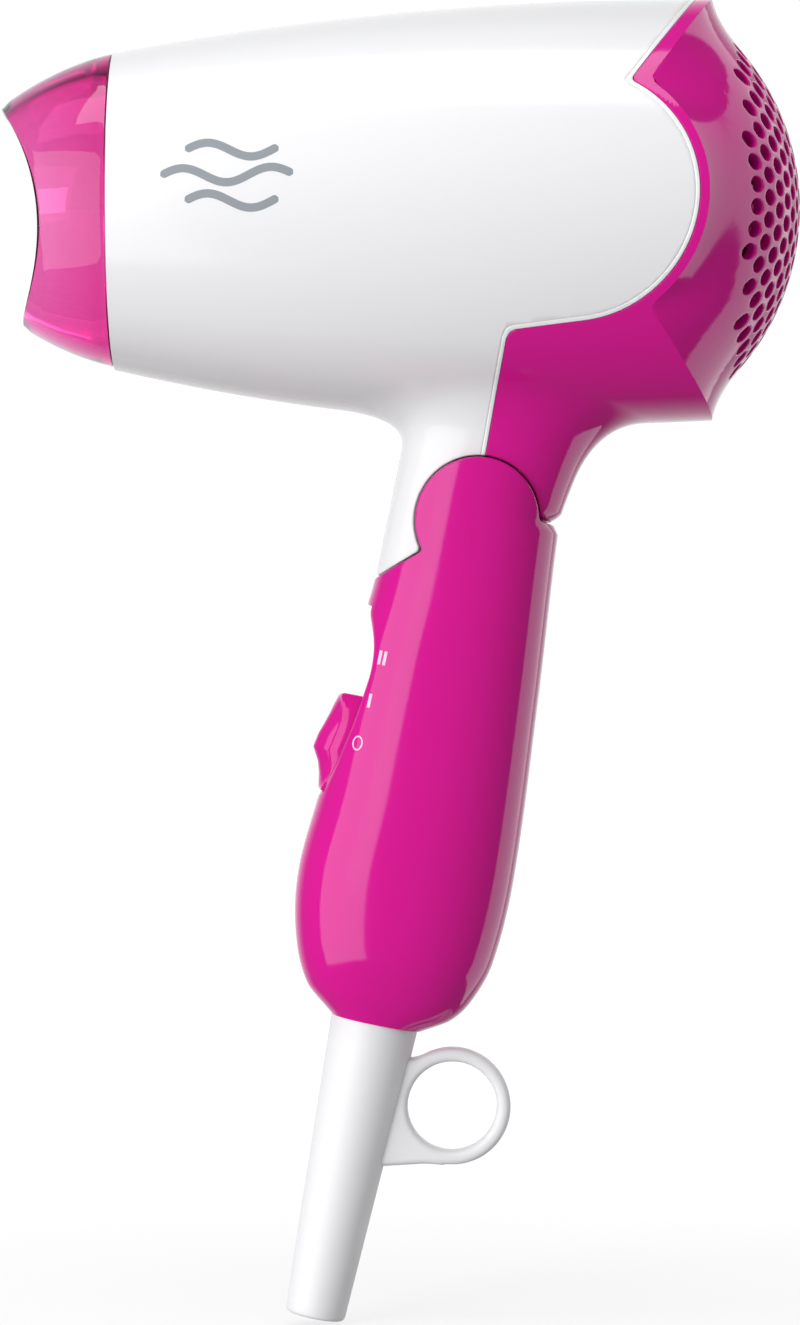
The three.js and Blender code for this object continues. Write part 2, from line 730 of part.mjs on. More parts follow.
const gripSides = 24;
function gripSolid(inset) {
  const upper = [-15, 0, hoodTop - 5, hoodTop, hoodTop + 6, hoodTop + 12, 42, 52, channelEnd];
  const lower = [-34, -20, -12, -7, -3.5, -1.5, 0].map((up) => handleLength + up);
  const levels = [...upper, ...lower];
  const kept = inset ? levels.filter((d) => d < handleLength - 3) : levels;
  const nose = channelFloor - handleWall;
  const rings = kept.map((d) => {
    const front = frontEdge(d) - inset;
    const clear = d > hoodTop - 4 && d < channelEnd + 3 ? Math.min(front, nose) : front;
    return oval(-d, inset ? clear : frontEdge(d), backEdge(d) + inset, sideEdge(d) - inset, gripSides);
  });
  if (inset) {
    const last = kept[kept.length - 1];
    const floor = -(handleLength - handleWall);
    rings.push(oval(floor, frontEdge(last) - 6, backEdge(last) + 6, sideEdge(last) - 4, gripSides));
  }
  return loft(rings);
}

// The handle's outline at its hinge end, seen from the side: round ears and a cheek below them.
function handleKeep() {
  const shape = new THREE.Shape();
  const stop = backStop - gap;
  const edge = neckBack + grooveDepth;
  const toe = tipReach + 2 * gap;
  shape.moveTo(-far, stop - 3 * grooveDepth);
  shape.lineTo(edge - 2 * grooveDepth, stop - 3 * grooveDepth);
  shape.lineTo(edge, stop);
  shape.lineTo(-Math.sqrt(earRadius ** 2 - stop ** 2), stop);
  const start = Math.PI - Math.asin(stop / earRadius);
  shape.absarc(0, 0, earRadius, start, THREE.MathUtils.degToRad(-toeAngle - 2), true);
  shape.lineTo(toe * cos(toeAngle + 1), -toe * sin(toeAngle + 1));
  shape.lineTo(far, -toe * sin(toeAngle + 1));
  shape.lineTo(far, -far);
  shape.lineTo(-far, -far);
  shape.closePath();
  return prism(shape, -far, far);
}

const screws = [
  { x: -13.5, z: -30 },
  { x: -14.5, z: -72 },
  { x: 12, z: -79 },
];

function makeHandle() {
  const ear = (side) => {
    const [from, to] = side > 0 ? [drumHalf + gap, earHalf - 0.5] : [-earHalf + 0.5, -drumHalf - gap];
    return barY(hingeTube.radius + 2.6, from, to, 0, 0, 28);
  };
  const bosses = screws.map(({ x, z }) => barY(screw.boss, -gripHalf + 3, gripHalf - 3, x, z, 16));
  const outside = gripSolid(0);
  const inside = gripSolid(handleWall);
  const shell = cut(outside, inside).intersect(handleKeep());
  const extras = union(...bosses, ear(1), ear(-1)).intersect(outside);
  const swept = barY(tipReach + gap, -neckHalf.top + 0.6, neckHalf.top - 0.6, 0, 0, 48);
  const hull = cut(
    shell,
    swept.intersect(box(-far, far, -drumHalf - 2.6, drumHalf + 2.6, -far, far)),
    barY(drumRadius + 2 * gap, -drumHalf - gap, drumHalf + gap, 0, 0, 32),
  ).add(extras);
  const reachTop = hoodTop + gap;
  const channel = box(channelFloor, far, -knob.half - gap, knob.half + gap, -channelEnd, -reachTop);
  const stemSlot = box(0, far, -stem.half - gap, stem.half + gap, -channelEnd + 5, -hoodTop - 5);
  const sleeveWay = barZ(sleeve.top + gap, -far, -handleLength + 8, 0, 0, 32);
  const bore = barY(hingeTube.radius + gap / 2, -hingeTube.half - gap, hingeTube.half + gap, 0, 0, 24);
  const holes = screws.flatMap(({ x, z }) => [
    barY(screw.radius + gap, -far, gripHalf - 5, x, z, 12),
    barY(screw.head + gap, -far, -8, x, z, 16),
  ]);
  const whole = cut(hull, channel, stemSlot, sleeveWay, bore, ...holes);
  const seam = gap / 2;
  add(handle, "handle_left", whole.intersect(box(-far, far, seam, far, -far, far)), pink);
  add(handle, "handle_right", whole.intersect(box(-far, far, -far, -seam, -far, far)), pink);
  screws.forEach(({ x, z }, i) => {
    const shank = barY(screw.radius, -8 - gap, gripHalf - 6, x, z, 10);
    const head = barY(screw.head, -8 - gap - screw.headLength, -8 - gap, x, z, 14);
    add(handle, `handle_screw_${i + 1}`, shank.add(head), steel);
  });
}

function makeHinge() {
  const { radius, bore, half } = hingeTube;
  const wall = cut(barY(radius, -half, half, 0, 0, 24), barY(bore, -half - 1, half + 1, 0, 0, 24));
  const window = box(-2.6, 2.6, -5.5, 5.5, 0, radius + 1);
  add(handle, "hinge_tube", cut(wall, window), steel);
}

// Slide switch: the knob rides in the channel, and its stem drives the switch inside.
const knobTop = hoodTop + 2 * switchStep + 2 * gap;
function makeSwitch() {
  const { half, length, peak } = knob;
  const [top, end] = [-knobTop, -knobTop - length];
  const floor = channelFloor + gap;
  const shape = new THREE.Shape();
  shape.moveTo(floor, end);
  shape.lineTo(peak - 3.6, end);
  shape.lineTo(peak - 2.7, end + 0.8);
  shape.quadraticCurveTo(peak - 2.4, end + 5, peak, end + 8.8);
  shape.lineTo(peak - 0.5, end + 11.4);
  shape.quadraticCurveTo(peak - 2.2, end + 14, peak - 3.2, top - 0.6);
  shape.lineTo(peak - 3.8, top);
  shape.lineTo(floor, top);
  shape.closePath();
  const cap = prism(shape, -half, half);
  const stemTop = top - length / 2 + stem.length / 2;
  const stemEnd = stemTop - stem.length;
  const post = box(switchBox.front + 1.2, floor + 1, -stem.half, stem.half, stemEnd, stemTop);
  add(handle, "switch_knob", cap.add(post), pink);

  const foot = box(switchBox.front - 2, switchBox.front + 0.9, -2.6, 2.6, stemEnd - 1.5, stemTop + 1.5);
  add(handle, "switch_actuator", foot, blackPlastic);

  const middle = (stemTop + stemEnd) / 2 + switchStep;
  const [boxEnd, boxTop] = [middle - switchBox.length / 2 - 3, middle + switchBox.length / 2 + 3];
  const back = switchBox.front - switchBox.depth;
  const body = cut(
    box(back, switchBox.front, -switchBox.half, switchBox.half, boxEnd, boxTop),
    box(switchBox.front - 2.4, far, -2.6 - gap, 2.6 + gap, boxEnd + 2, boxTop - 2),
  );
  add(handle, "switch_body", body, greyPlastic);
  const boardBack = back - gap - 1.6;
  add(handle, "switch_board", box(boardBack, back - gap, -8, 8, boxEnd - 2, boxTop - 2), board);
}

// Moulded sleeve that guards the cord where it leaves, with a loop to hang the dryer by.
const sleeveInside = 9; // how far it reaches into the handle
function makeSleeve() {
  const top = -handleLength + sleeveInside;
  const end = -handleLength - sleeve.tail;
  const profile = [
    [sleeve.bore, end],
    [sleeve.end, end],
    [sleeve.top, -handleLength],
    [sleeve.top, top],
    [sleeve.bore, top],
  ].map(([r, z]) => new THREE.Vector2(r, z));
  const stalk = solid(new THREE.LatheGeometry([...profile, profile[0]], 28).rotateX(Math.PI / 2));
  const collar = cut(
    barZ(sleeve.flange, top, top + sleeve.flangeThickness, 0, 0, 28),
    barZ(sleeve.bore, top - 1, top + 6, 0, 0, 24),
  );
  const [x, z] = [-loop.behind, -handleLength - loop.below];
  const web = box(x, 0, -loop.half, loop.half, z - loop.outer, z);
  const ring = barY(loop.outer, -loop.half, loop.half, x, z, 36);
  const eye = barY(loop.inner, -far, far, x, z, 28);
  const core = barZ(sleeve.bore, -far, 0, 0, 0, 24);
  add(handle, "cord_sleeve", cut(union(stalk, collar, web, ring), eye, core), white);

  const clampBase = top + sleeve.flangeThickness + gap;
  const grip = cut(
    box(-9, 9, -5, 5, clampBase, clampBase + 6),
    barZ(3.1, -far, far, 0, 0, 20),
    barZ(screw.radius + gap / 2, -far, far, 6.4, 0, 12),
    barZ(screw.radius + gap / 2, -far, far, -6.4, 0, 12),
  );
  add(handle, "cord_clamp", grip, greyPlastic);
  [6.4, -6.4].forEach((at, i) => {
    const shank = barZ(screw.radius, clampBase + 0.5, clampBase + 6 + gap, at, 0, 10);
    const head = barZ(screw.head * 0.9, clampBase + 6 + gap, clampBase + 8, at, 0, 14);
    add(handle, `clamp_screw_${i + 1}`, shank.add(head), steel);
  });
}

// Leads from the cord clamp up to the switch.
function makeGripLeads() {
  const start = -handleLength + sleeveInside + sleeve.flangeThickness + 2;
  const leads = [["live_lead", 1, redSheath], ["neutral_lead", -1, blueSheath]];
  for (const [name, side, sheath] of leads) {
    const path = new THREE.CatmullRomCurve3([
      v3(side * 1.1, side * 1.1, start),
      v3(side * 1.2, side * 1.3, start + 10),
      v3(1.5, side * 3.2, start + 18),
      v3(3, side * 3.4, start + 24),
    ]);
    add(handle, name, tube(path, 1.1, 8, 14), sheath);
  }
}

makeShells();
makeNozzle();
makeOutletGuard();
makeHeater();
makeDuct();
makeMotorAndFan();
makeNeckLeads();
makeHandle();
makeHinge();
makeSwitch();
makeSleeve();
makeGripLeads();

export default dryer;
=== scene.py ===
"""The looks of a folding hair dryer, built round its solid frame."""

import json
import math

import bpy
import numpy as np
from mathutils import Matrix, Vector


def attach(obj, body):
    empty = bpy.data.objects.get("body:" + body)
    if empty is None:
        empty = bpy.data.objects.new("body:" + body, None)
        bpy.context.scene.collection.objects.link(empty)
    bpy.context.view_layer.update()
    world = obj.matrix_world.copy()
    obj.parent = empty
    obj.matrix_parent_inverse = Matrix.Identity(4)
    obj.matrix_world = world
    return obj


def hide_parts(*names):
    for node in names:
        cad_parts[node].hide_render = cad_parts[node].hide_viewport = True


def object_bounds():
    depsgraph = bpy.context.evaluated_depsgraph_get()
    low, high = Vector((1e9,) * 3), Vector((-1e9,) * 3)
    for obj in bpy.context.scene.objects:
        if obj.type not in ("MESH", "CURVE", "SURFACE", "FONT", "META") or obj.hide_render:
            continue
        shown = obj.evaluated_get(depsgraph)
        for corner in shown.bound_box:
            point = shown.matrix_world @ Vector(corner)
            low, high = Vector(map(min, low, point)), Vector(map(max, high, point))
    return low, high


bl_info = {
    "name": "Folding hair dryer",
    "version": (1, 0, 0),
    "blender": (4, 5, 0),
    "location": "3D View > Sidebar > Dryer",
    "description": "Builds the shells, grille, nozzle, grip and cord sleeve of a folding hair dryer",
    "category": "Object",
}

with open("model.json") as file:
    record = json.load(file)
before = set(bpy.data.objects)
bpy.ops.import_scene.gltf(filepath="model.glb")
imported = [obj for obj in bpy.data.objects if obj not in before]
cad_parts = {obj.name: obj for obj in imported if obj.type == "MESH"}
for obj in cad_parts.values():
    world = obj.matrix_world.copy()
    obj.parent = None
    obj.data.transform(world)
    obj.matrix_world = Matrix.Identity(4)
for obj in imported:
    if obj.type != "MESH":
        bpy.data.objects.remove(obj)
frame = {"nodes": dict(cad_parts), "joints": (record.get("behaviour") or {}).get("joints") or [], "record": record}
CAD_BOX = [list(corner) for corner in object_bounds()]
JOINTS = {joint["name"]: joint for joint in frame["joints"]}
HINGE = np.array(JOINTS["handle_fold"]["pos_m"], float)
GRIP_UP = np.array(JOINTS["switch_slide"]["axis"], float)
AXIS_HEIGHT = (JOINTS["fan_spin"]["pos_m"][2] - HINGE[2]) / 0.001
MM = 0.001


# ---- Sizes and colours a user may change -----------------------------------------------------


def length(name, description, default):
    """A length property, given in millimetres and kept in metres."""
    return bpy.props.FloatProperty(
        name=name, description=description, default=default * MM, unit="LENGTH", precision=5
    )


def linear(code):
    """An sRGB hex colour such as 'c9207f' as linear red, green and blue."""
    parts = np.array([int(code[i : i + 2], 16) for i in (0, 2, 4)]) / 255
    return tuple(np.where(parts <= 0.04045, parts / 12.92, ((parts + 0.055) / 1.055) ** 2.4))


def colour(name, description, code):
    """A colour property, given as sRGB hex."""
    return bpy.props.FloatVectorProperty(
        name=name, description=description, default=linear(code), size=3, subtype="COLOR", min=0, max=1
    )


class DryerSizes(bpy.types.PropertyGroup):
    """Sizes of the dryer's outer pieces."""

    mouth_x: length("Mouth", "From the hinge forward to the barrel's mouth", 75.8)
    tail_x: length("Tail", "From the hinge back to the tail's corner", -49.4)
    mouth_radius: length("Mouth radius", "Outer radius of the barrel at its mouth", 32.9)
    tail_radius: length("Tail radius", "Outer radius of the barrel at its tail", 43.98)
    wall: length("Shell wall", "Thickness of the moulded shells", 2.2)
    dome_radius: length("Dome radius", "Radius of the inlet dome", 50.4)
    hole_radius: length("Inlet hole", "Radius of one inlet hole", 1.65)
    hole_pitch: length("Hole pitch", "Distance between neighbouring inlet holes", 4.55)
    hole_field: length("Hole field", "How far from the axis the inlet holes reach", 35.2)
    grip_length: length("Grip length", "From the hinge down to the grip's end", 107)
    channel_half: length("Slot", "Half the width of the switch slot", 6.5)
    knob_half: length("Knob", "Half the width of the switch knob", 6.2)
    sleeve_top: length("Sleeve top", "Radius of the cord sleeve at the grip", 9.2)
    sleeve_end: length("Sleeve end", "Radius of the cord sleeve at its tip", 6.3)


class DryerColours(bpy.types.PropertyGroup):
    """Colours of the dryer's finishes."""

    white: colour("White shell", "Front shell, and the cord sleeve", "e6e6e8")
    magenta: colour("Magenta shell", "Tail shell, grip and knob", "d0128c")
    nozzle: colour("Nozzle tint", "Clear plastic of the nozzle", "ffc8e9")
    dye: colour("Nozzle dye", "What the nozzle's plastic lets through as it gets thicker", "f000cc")
    marks: colour("Switch marks", "Print on the grip", "e9c6da")
    print: colour("Barrel print", "Print on the barrel", "8c9298")
    floor: colour("Floor", "Studio floor", "f5f5f5")


def sizes():
    """The sizes in millimetres, by name."""
    group = bpy.context.scene.dryer_sizes
    return {key: getattr(group, key) / MM for key in DryerSizes.__annotations__}


def colours():
    """The colours, by name."""
    group = bpy.context.scene.dryer_colours
    return {key: tuple(getattr(group, key)) for key in DryerColours.__annotations__}


# ---- Surfaces as whole arrays ----------------------------------------------------------------
# A skin is (points, triangles): an array of points in millimetres from the hinge, and indices. Its
# points may carry their surface's normals in three more columns, so that cut edges keep them.


def unit(vectors):
    """Vectors at length one."""
    return vectors / np.maximum(np.linalg.norm(vectors, axis=-1, keepdims=True), 1e-12)


def stack(*parts):
    """Coordinates put side by side as points, after numpy spreads them to one shape."""
    return np.stack(np.broadcast_arrays(*parts), -1).astype(float)


def sheet(grid, wrap=False):
    """The skin of a grid of points, rows by columns; wrap joins the last column to the first."""
    rows, columns = grid.shape[:2]
    index = np.arange(rows * columns).reshape(rows, columns)
    if wrap:
        index = np.concatenate([index, index[:, :1]], 1)
    a, b, c, d = index[:-1, :-1], index[1:, :-1], index[1:, 1:], index[:-1, 1:]
    halves = [np.stack([a, b, c], -1), np.stack([a, c, d], -1)]
    return grid.reshape(-1, 3), np.concatenate([half.reshape(-1, 3) for half in halves])


def weld(skin, grain=0.002):
    """Points that fall in one small cell become one, and triangles left without area go."""
    points, faces = skin
    cells = np.round(points[:, :3] / grain + 0.25).astype(np.int64)
    _, first, same = np.unique(cells, axis=0, return_index=True, return_inverse=True)
    faces = same.ravel()[faces]
    a, b, c = faces.T
    return points[first], faces[(a != b) & (b != c) & (a != c)]


def join(*skins):
    """Several skins as one, with shared points welded."""
    starts = np.cumsum([0] + [len(points) for points, _ in skins])
    faces = [faces + start for (_, faces), start in zip(skins, starts)]
    return weld((np.concatenate([points for points, _ in skins]), np.concatenate(faces)))


def together(*skins):
    """Several closed skins in one mesh, left apart."""
    starts = np.cumsum([0] + [len(points) for points, _ in skins])
    faces = [faces + start for (_, faces), start in zip(skins, starts)]
    return np.concatenate([points for points, _ in skins]), np.concatenate(faces)


def used(points, faces):
    """The skin without points that no triangle uses."""
    kept, renamed = np.unique(faces, return_inverse=True)
    return points[kept], renamed.reshape(faces.shape)


def normals_of(skin):
    """Each point's normal: the one it carries, or the sum of its triangles' cross products, at
    length one."""
    points, faces = skin
    if points.shape[1] == 6:
        return unit(points[:, 3:])
    corners = points[faces]
    cross = np.cross(corners[:, 1] - corners[:, 0], corners[:, 2] - corners[:, 0])
    total = np.zeros_like(points)
    for corner in range(3):
        np.add.at(total, faces[:, corner], cross)
    return unit(total)


def with_normals(skin):
    """The skin with each point's normal beside it."""
    return np.concatenate([skin[0], normals_of(skin)], 1), skin[1]


def sunk(skin, depth):
    """The skin's points, moved against their normals by a depth each."""
    points = skin[0].copy()
    points[:, :3] -= normals_of(skin) * np.reshape(depth, (-1, 1))
    return points


def face_out(skin, about):
    """Turns the skin over if it faces towards a point, or towards points given for each of its own."""
    points, faces = skin
    away = ((points - about) * normals_of(skin)).sum()
    return (points, faces) if away > 0 else (points, faces[:, ::-1])


def split(skin, level):
    """Cuts triangles along level = 0. A cut triangle becomes three, with one new point on each edge
    that changes sign, at the zero of a straight line between its ends. Returns each one's side too."""
    points, faces = skin
    value = level(points[:, :3])
    value = np.where(np.abs(value) < 1e-5, 1e-5, value)
    above = value > 0
    count = above[faces].sum(1)
    crossed = (count == 1) | (count == 2)
    whole, cut = faces[~crossed], faces[crossed]
    ups = above[cut]
    odd = np.where(ups.sum(1) == 1, ups.argmax(1), (~ups).argmax(1))
    cut = np.take_along_axis(cut, (odd[:, None] + np.arange(3)) % 3, 1)
    a, b, c = cut.T
    ends = np.sort(np.concatenate([np.stack([a, b], 1), np.stack([a, c], 1)]), 1)
    edges, which = np.unique(ends, axis=0, return_inverse=True)
    which = which.ravel()
    low, high = value[edges[:, 0]], value[edges[:, 1]]
    share = (low / (low - high))[:, None]
    added = points[edges[:, 0]] * (1 - share) + points[edges[:, 1]] * share
    ab, ac = len(points) + which[: len(a)], len(points) + which[len(a) :]
    pieces = [np.stack(three, 1) for three in ((a, ab, ac), (ab, b, c), (ab, c, ac))]
    faces = np.concatenate([whole, *pieces])
    value = np.concatenate([value, np.zeros(len(added))])
    return np.concatenate([points, added]), faces, value[faces].sum(1)


def trim(skin, level, edge=0.0):
    """Keeps the skin where level, a distance in millimetres, is above zero. The cut edge is rolled
    over by a quarter circle of radius edge: a point at distance f sinks by r - sqrt(r^2 - (r - f)^2)."""
    for share in (1, 0.6, 0.3, 0.1) if edge else ():
        skin = split(skin, lambda points, depth=share * edge: level(points) - depth)[:2]
    points, faces, side = split(skin, level)
    points, faces = used(points, faces[side > 0])
    if edge:
        near = edge - np.clip(level(points[:, :3]), 0, edge)
        points = sunk((points, faces), edge - np.sqrt(edge**2 - near**2))
    return points, faces


def engrave(skin, level, at, width, depth):
    """A narrow round groove along level = at: points within half the width sink by a raised cosine."""
    for offset in (-0.5, -0.25, 0, 0.25, 0.5):
        skin = split(skin, lambda points, step=at + offset * width: level(points) - step)[:2]
    away = np.clip(np.abs(level(skin[0][:, :3]) - at) / (width / 2), 0, 1)
    return sunk(skin, depth * (1 + np.cos(np.pi * away)) / 2), skin[1]


def open_edges(skin):
    """The edges, as pairs of indices, that only one triangle has."""
    faces, n = skin[1], len(skin[0])
    edges = np.concatenate([faces[:, [0, 1]], faces[:, [1, 2]], faces[:, [2, 0]]]).astype(np.int64)
    return edges[~np.isin(edges[:, 0] * n + edges[:, 1], edges[:, 1] * n + edges[:, 0])]


def bridged(skin, inner):
    """A closed solid from a skin and its inner points: the skin, its turned-over copy and walls
    between their open edges."""
    points, faces = skin
    n = len(points)
    a, b = open_edges(skin).T
    walls = [np.stack([b, a, a + n], 1), np.stack([b, a + n, b + n], 1)]
    faces = np.concatenate([faces, faces[:, ::-1] + n, *walls])
    return np.concatenate([points[:, :3], inner[:, :3]]), faces


def thicken(skin, wall):
    """A skin given a wall, inwards along its normals."""
    return bridged(skin, sunk(skin, wall))


def zipped(outer, inner, angle):
    """A strip between two rings whose points are in order of angle: each edge of one ring meets the
    point of the other ring that comes last before the edge's end."""
    n, m = len(outer), len(inner)
    turn_a, turn_b = angle(outer), angle(inner)
    a, b = np.argsort(turn_a), np.argsort(turn_b)
    turn_a, turn_b = turn_a[a], turn_b[b]
    next_a, next_b = np.roll(np.arange(n), -1), np.roll(np.arange(m), -1)
    met_b = b[(np.searchsorted(turn_b, turn_a[next_a]) - 1) % m]
    met_a = a[(np.searchsorted(turn_a, turn_b[next_b]) - 1) % n]
    strips = [np.stack([a, a[next_a], n + met_b], 1), np.stack([n + b[next_b], n + b, met_a], 1)]
    return np.concatenate([outer, inner]), np.concatenate(strips)


def open_ring(skin, chosen):
    """The points on a skin's open edge that a test picks."""
    rim = skin[0][np.unique(open_edges(skin)), :3]
    return rim[chosen(rim)]


def swept(section):
    """A closed solid from rings of points: rows are stations, columns go round. Caps fan to a middle."""
    first, last = (np.stack([ring, np.broadcast_to(ring.mean(0), ring.shape)]) for ring in section[[0, -1]])
    start, end = sheet(first, wrap=True), sheet(last, wrap=True)
    return weld(together(sheet(section, wrap=True), (start[0], start[1][:, ::-1]), end))


def solid_out(skin):
    """Turns a closed skin right side out by the sign of its volume."""
    points, faces = skin
    a, b, c = points[faces[:, 0]], points[faces[:, 1]], points[faces[:, 2]]
    volume = (np.cross(a, b) * c).sum()
    return (points, faces) if volume > 0 else (points, faces[:, ::-1])


def smooth_max(a, b, blend):
    """The larger of two values, with their crossing rounded over a width."""
    mix = np.maximum(blend - np.abs(a - b), 0) / blend
    return np.maximum(a, b) + mix**2 * blend / 4


def through(*knots):
    """A smooth curve through (position, value) knots: cubic pieces whose slopes are those of the
    line between each knot's neighbours."""
    at, value = np.array(knots, float).T
    before = np.maximum(np.arange(len(at)) - 1, 0)
    after = np.minimum(np.arange(len(at)) + 1, len(at) - 1)
    slope = (value[after] - value[before]) / (at[after] - at[before])

    def curve(x):
        i = np.clip(np.searchsorted(at, x, side="right") - 1, 0, len(at) - 2)
        width = at[i + 1] - at[i]
        t = np.clip((x - at[i]) / width, 0, 1)
        bend = t * (1 - t) * width * (slope[i] * (1 - t) - slope[i + 1] * t)
        return value[i] + (value[i + 1] - value[i]) * t * t * (3 - 2 * t) + bend

    return curve


def power(value, exponent):
    """A signed power."""
    return np.sign(value) * np.abs(value) ** exponent


RAKE = math.atan2(-GRIP_UP[0], GRIP_UP[2])
ACROSS = np.array([math.cos(RAKE), 0, math.sin(RAKE)])
UP = np.array([-math.sin(RAKE), 0, math.cos(RAKE)])


def from_grip(points):
    """Points given across, sideways and up the grip, turned to the barrel's directions."""
    x, y, z = np.moveaxis(points, -1, 0)
    return x[..., None] * ACROSS + z[..., None] * UP + y[..., None] * np.array([0, 1, 0])


def in_grip(points):
    """How far points are across and up the grip, from the hinge."""
    return points @ ACROSS, points @ UP


def build(name, skin, body, material, replaces=(), sharp=35):
    """Makes the Blender object of a skin, with its place in its mesh, and says what it stands for."""
    points, faces = skin
    mesh = bpy.data.meshes.new(name)
    mesh.vertices.add(len(points))
    mesh.vertices.foreach_set("co", (points * MM + HINGE).astype(np.float32).ravel())
    mesh.loops.add(faces.size)
    mesh.loops.foreach_set("vertex_index", faces.astype(np.int32).ravel())
    mesh.polygons.add(len(faces))
    mesh.polygons.foreach_set("loop_start", np.arange(0, faces.size, 3, dtype=np.int32))
    mesh.polygons.foreach_set("use_smooth", np.ones(len(faces), bool))
    mesh.update(calc_edges=True)
    mesh.validate()
    mesh.set_sharp_from_angle(angle=math.radians(sharp))
    mesh.materials.append(material)
    thing = bpy.data.objects.new(name, mesh)
    bpy.context.scene.collection.objects.link(thing)
    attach(thing, body)
    if replaces:
        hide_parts(*replaces)
    return thing


# ---- Finishes --------------------------------------------------------------------------------


def add(tree, kind, settings=None, **inputs):
    """Adds a node with its settings; an input is a number, a colour or another node's output."""
    node = tree.nodes.new(kind)
    for key, value in (settings or {}).items():
        setattr(node, key, value)
    for key, value in inputs.items():
        socket = node.inputs[key.replace("_", " ")]
        if isinstance(value, bpy.types.NodeSocket):
            tree.links.new(value, socket)
        else:
            socket.default_value = value
    return node


def ranged(tree, value, before, after):
    """A value carried from one span to another, as an output."""
    spans = zip(("From Min", "From Max", "To Min", "To Max"), (*before, *after))
    node = add(tree, "ShaderNodeMapRange", Value=value)
    for key, end in spans:
        node.inputs[key].default_value = end
    return node.outputs["Result"]


def finish(name, base, rough, grain_mm, relief_mm, spread=0.0, metal=0.0, **sockets):
    """A procedural finish: noise with features of grain_mm raises the surface by relief_mm and
    spreads the roughness either side of its middle."""
    if name in bpy.data.materials:
        return bpy.data.materials[name]
    made = bpy.data.materials.new(name)
    made.use_nodes = True
    tree = made.node_tree
    shader = tree.nodes["Principled BSDF"]
    shader.inputs["Base Color"].default_value = (*base, 1)
    shader.inputs["Metallic"].default_value = metal
    for key, value in sockets.items():
        shader.inputs[key.replace("_", " ")].default_value = value
    place = add(tree, "ShaderNodeTexCoord").outputs["Object"]
    noise = add(tree, "ShaderNodeTexNoise", Vector=place, Scale=1 / (grain_mm * MM), Detail=2.0)
    bump = add(tree, "ShaderNodeBump", Height=noise.outputs["Fac"], Distance=relief_mm * MM, Strength=1.0)
    tree.links.new(bump.outputs["Normal"], shader.inputs["Normal"])
    if spread:
        wear = add(tree, "ShaderNodeTexNoise", Vector=place, Scale=1 / (14 * MM), Detail=4.0)
        worn = ranged(tree, wear.outputs["Fac"], (0.35, 0.65), (rough - spread, rough + spread))
        tree.links.new(worn, shader.inputs["Roughness"])
    else:
        shader.inputs["Roughness"].default_value = rough
    return made


def white_abs():
    """Polished injection-moulded ABS: a clean gloss with the faintest orange peel."""
    return finish("White ABS, polished mould", colours()["white"], 0.16, 5, 0.0015, 0.02, IOR=1.53)


def magenta_abs():
    """Dyed ABS from a mirror-polished mould: saturated body colour under sharp reflections."""
    return finish("Magenta ABS, polished mould", colours()["magenta"], 0.1, 6, 0.001, 0.015, IOR=1.53)


def sleeve_pvc():
    """Soft moulded PVC: a satin surface that spreads highlights."""
    return finish("White PVC, soft moulded", colours()["white"], 0.42, 1.2, 0.004, 0.04, IOR=1.52)


def clear_tinted():
    """Tinted polycarbonate from a polished mould: clear, and deeper in colour where more of it
    lies behind the surface, as at the edges."""
    name = "Tinted polycarbonate, polished mould"
    made = finish(name, colours()["nozzle"], 0.03, 8, 0.0005, IOR=1.5, Transmission_Weight=1.0)
    tree = made.node_tree
    dye = add(tree, "ShaderNodeVolumeAbsorption", Color=(*colours()["dye"], 1), Density=215.0)
    tree.links.new(dye.outputs["Volume"], tree.nodes["Material Output"].inputs["Volume"])
    return made


def printed(name, base):
    """Pad-printed ink: a thin matt film."""
    return finish(name, base, 0.4, 0.5, 0.001, IOR=1.5)


def glowing_floor():
    """A matt acrylic floor whose glow is painted light, not a lamp: dimmer near the object and a little
    brighter further out, so that it fades into the room and soft shadows still show under the object."""
    glow = {"Emission_Color": (*colours()["floor"], 1)}
    made = finish("Acrylic floor, matt, lit from below", linear("808080"), 0.9, 4, 0.01, **glow)
    tree = made.node_tree
    place = add(tree, "ShaderNodeTexCoord").outputs["Object"]
    away = add(tree, "ShaderNodeVectorMath", {"operation": "LENGTH"})
    tree.links.new(place, away.inputs[0])
    # painted light: the floor's own glow runs from 0.8 near the object to 1.12 further out, a painted shade round
    # the object and a brighter floor beyond
    strength = ranged(tree, away.outputs["Value"], (0.1, 1.1), (0.8, 1.12))
    tree.links.new(strength, tree.nodes["Principled BSDF"].inputs["Emission Strength"])
    return made


# Name, colour, roughness, grain and relief in millimetres, and metal or not. The moulded plastics are
# dull with a fine tooth, mica is a flat pale sheet with soft flakes, drawn wire and plated or rolled
# metal shine in narrow streaks of light, the board is a satin green, and silicone is soft and dull.
INNER_FINISHES = {
    "black_plastic": ("Black nylon, glass filled", "202024", 0.5, 0.8, 0.006, 0),
    "mica": ("Mica sheet, pressed", "b49c78", 0.55, 1.6, 0.012, 0),
    "resistance_wire": ("Nickel-chrome wire, drawn", "8f8a86", 0.38, 0.5, 0.002, 1),
    "bright_steel": ("Zinc-plated steel, pressed", "b4b6b9", 0.3, 0.9, 0.003, 1),
    "grey_plastic": ("Grey PBT, moulded", "5d6066", 0.48, 1.0, 0.006, 0),
    "brass": ("Brass strip, rolled", "c2a14e", 0.34, 0.9, 0.003, 1),
    "circuit_board": ("Glass-epoxy board, etched", "2c6441", 0.45, 0.7, 0.004, 0),
    "red_sheath": ("Red silicone sheath, extruded", "a51f29", 0.5, 1.0, 0.004, 0),
    "blue_sheath": ("Blue silicone sheath, extruded", "24509c", 0.5, 1.0, 0.004, 0),
}


# ---- The barrel's shape ----------------------------------------------------------------------

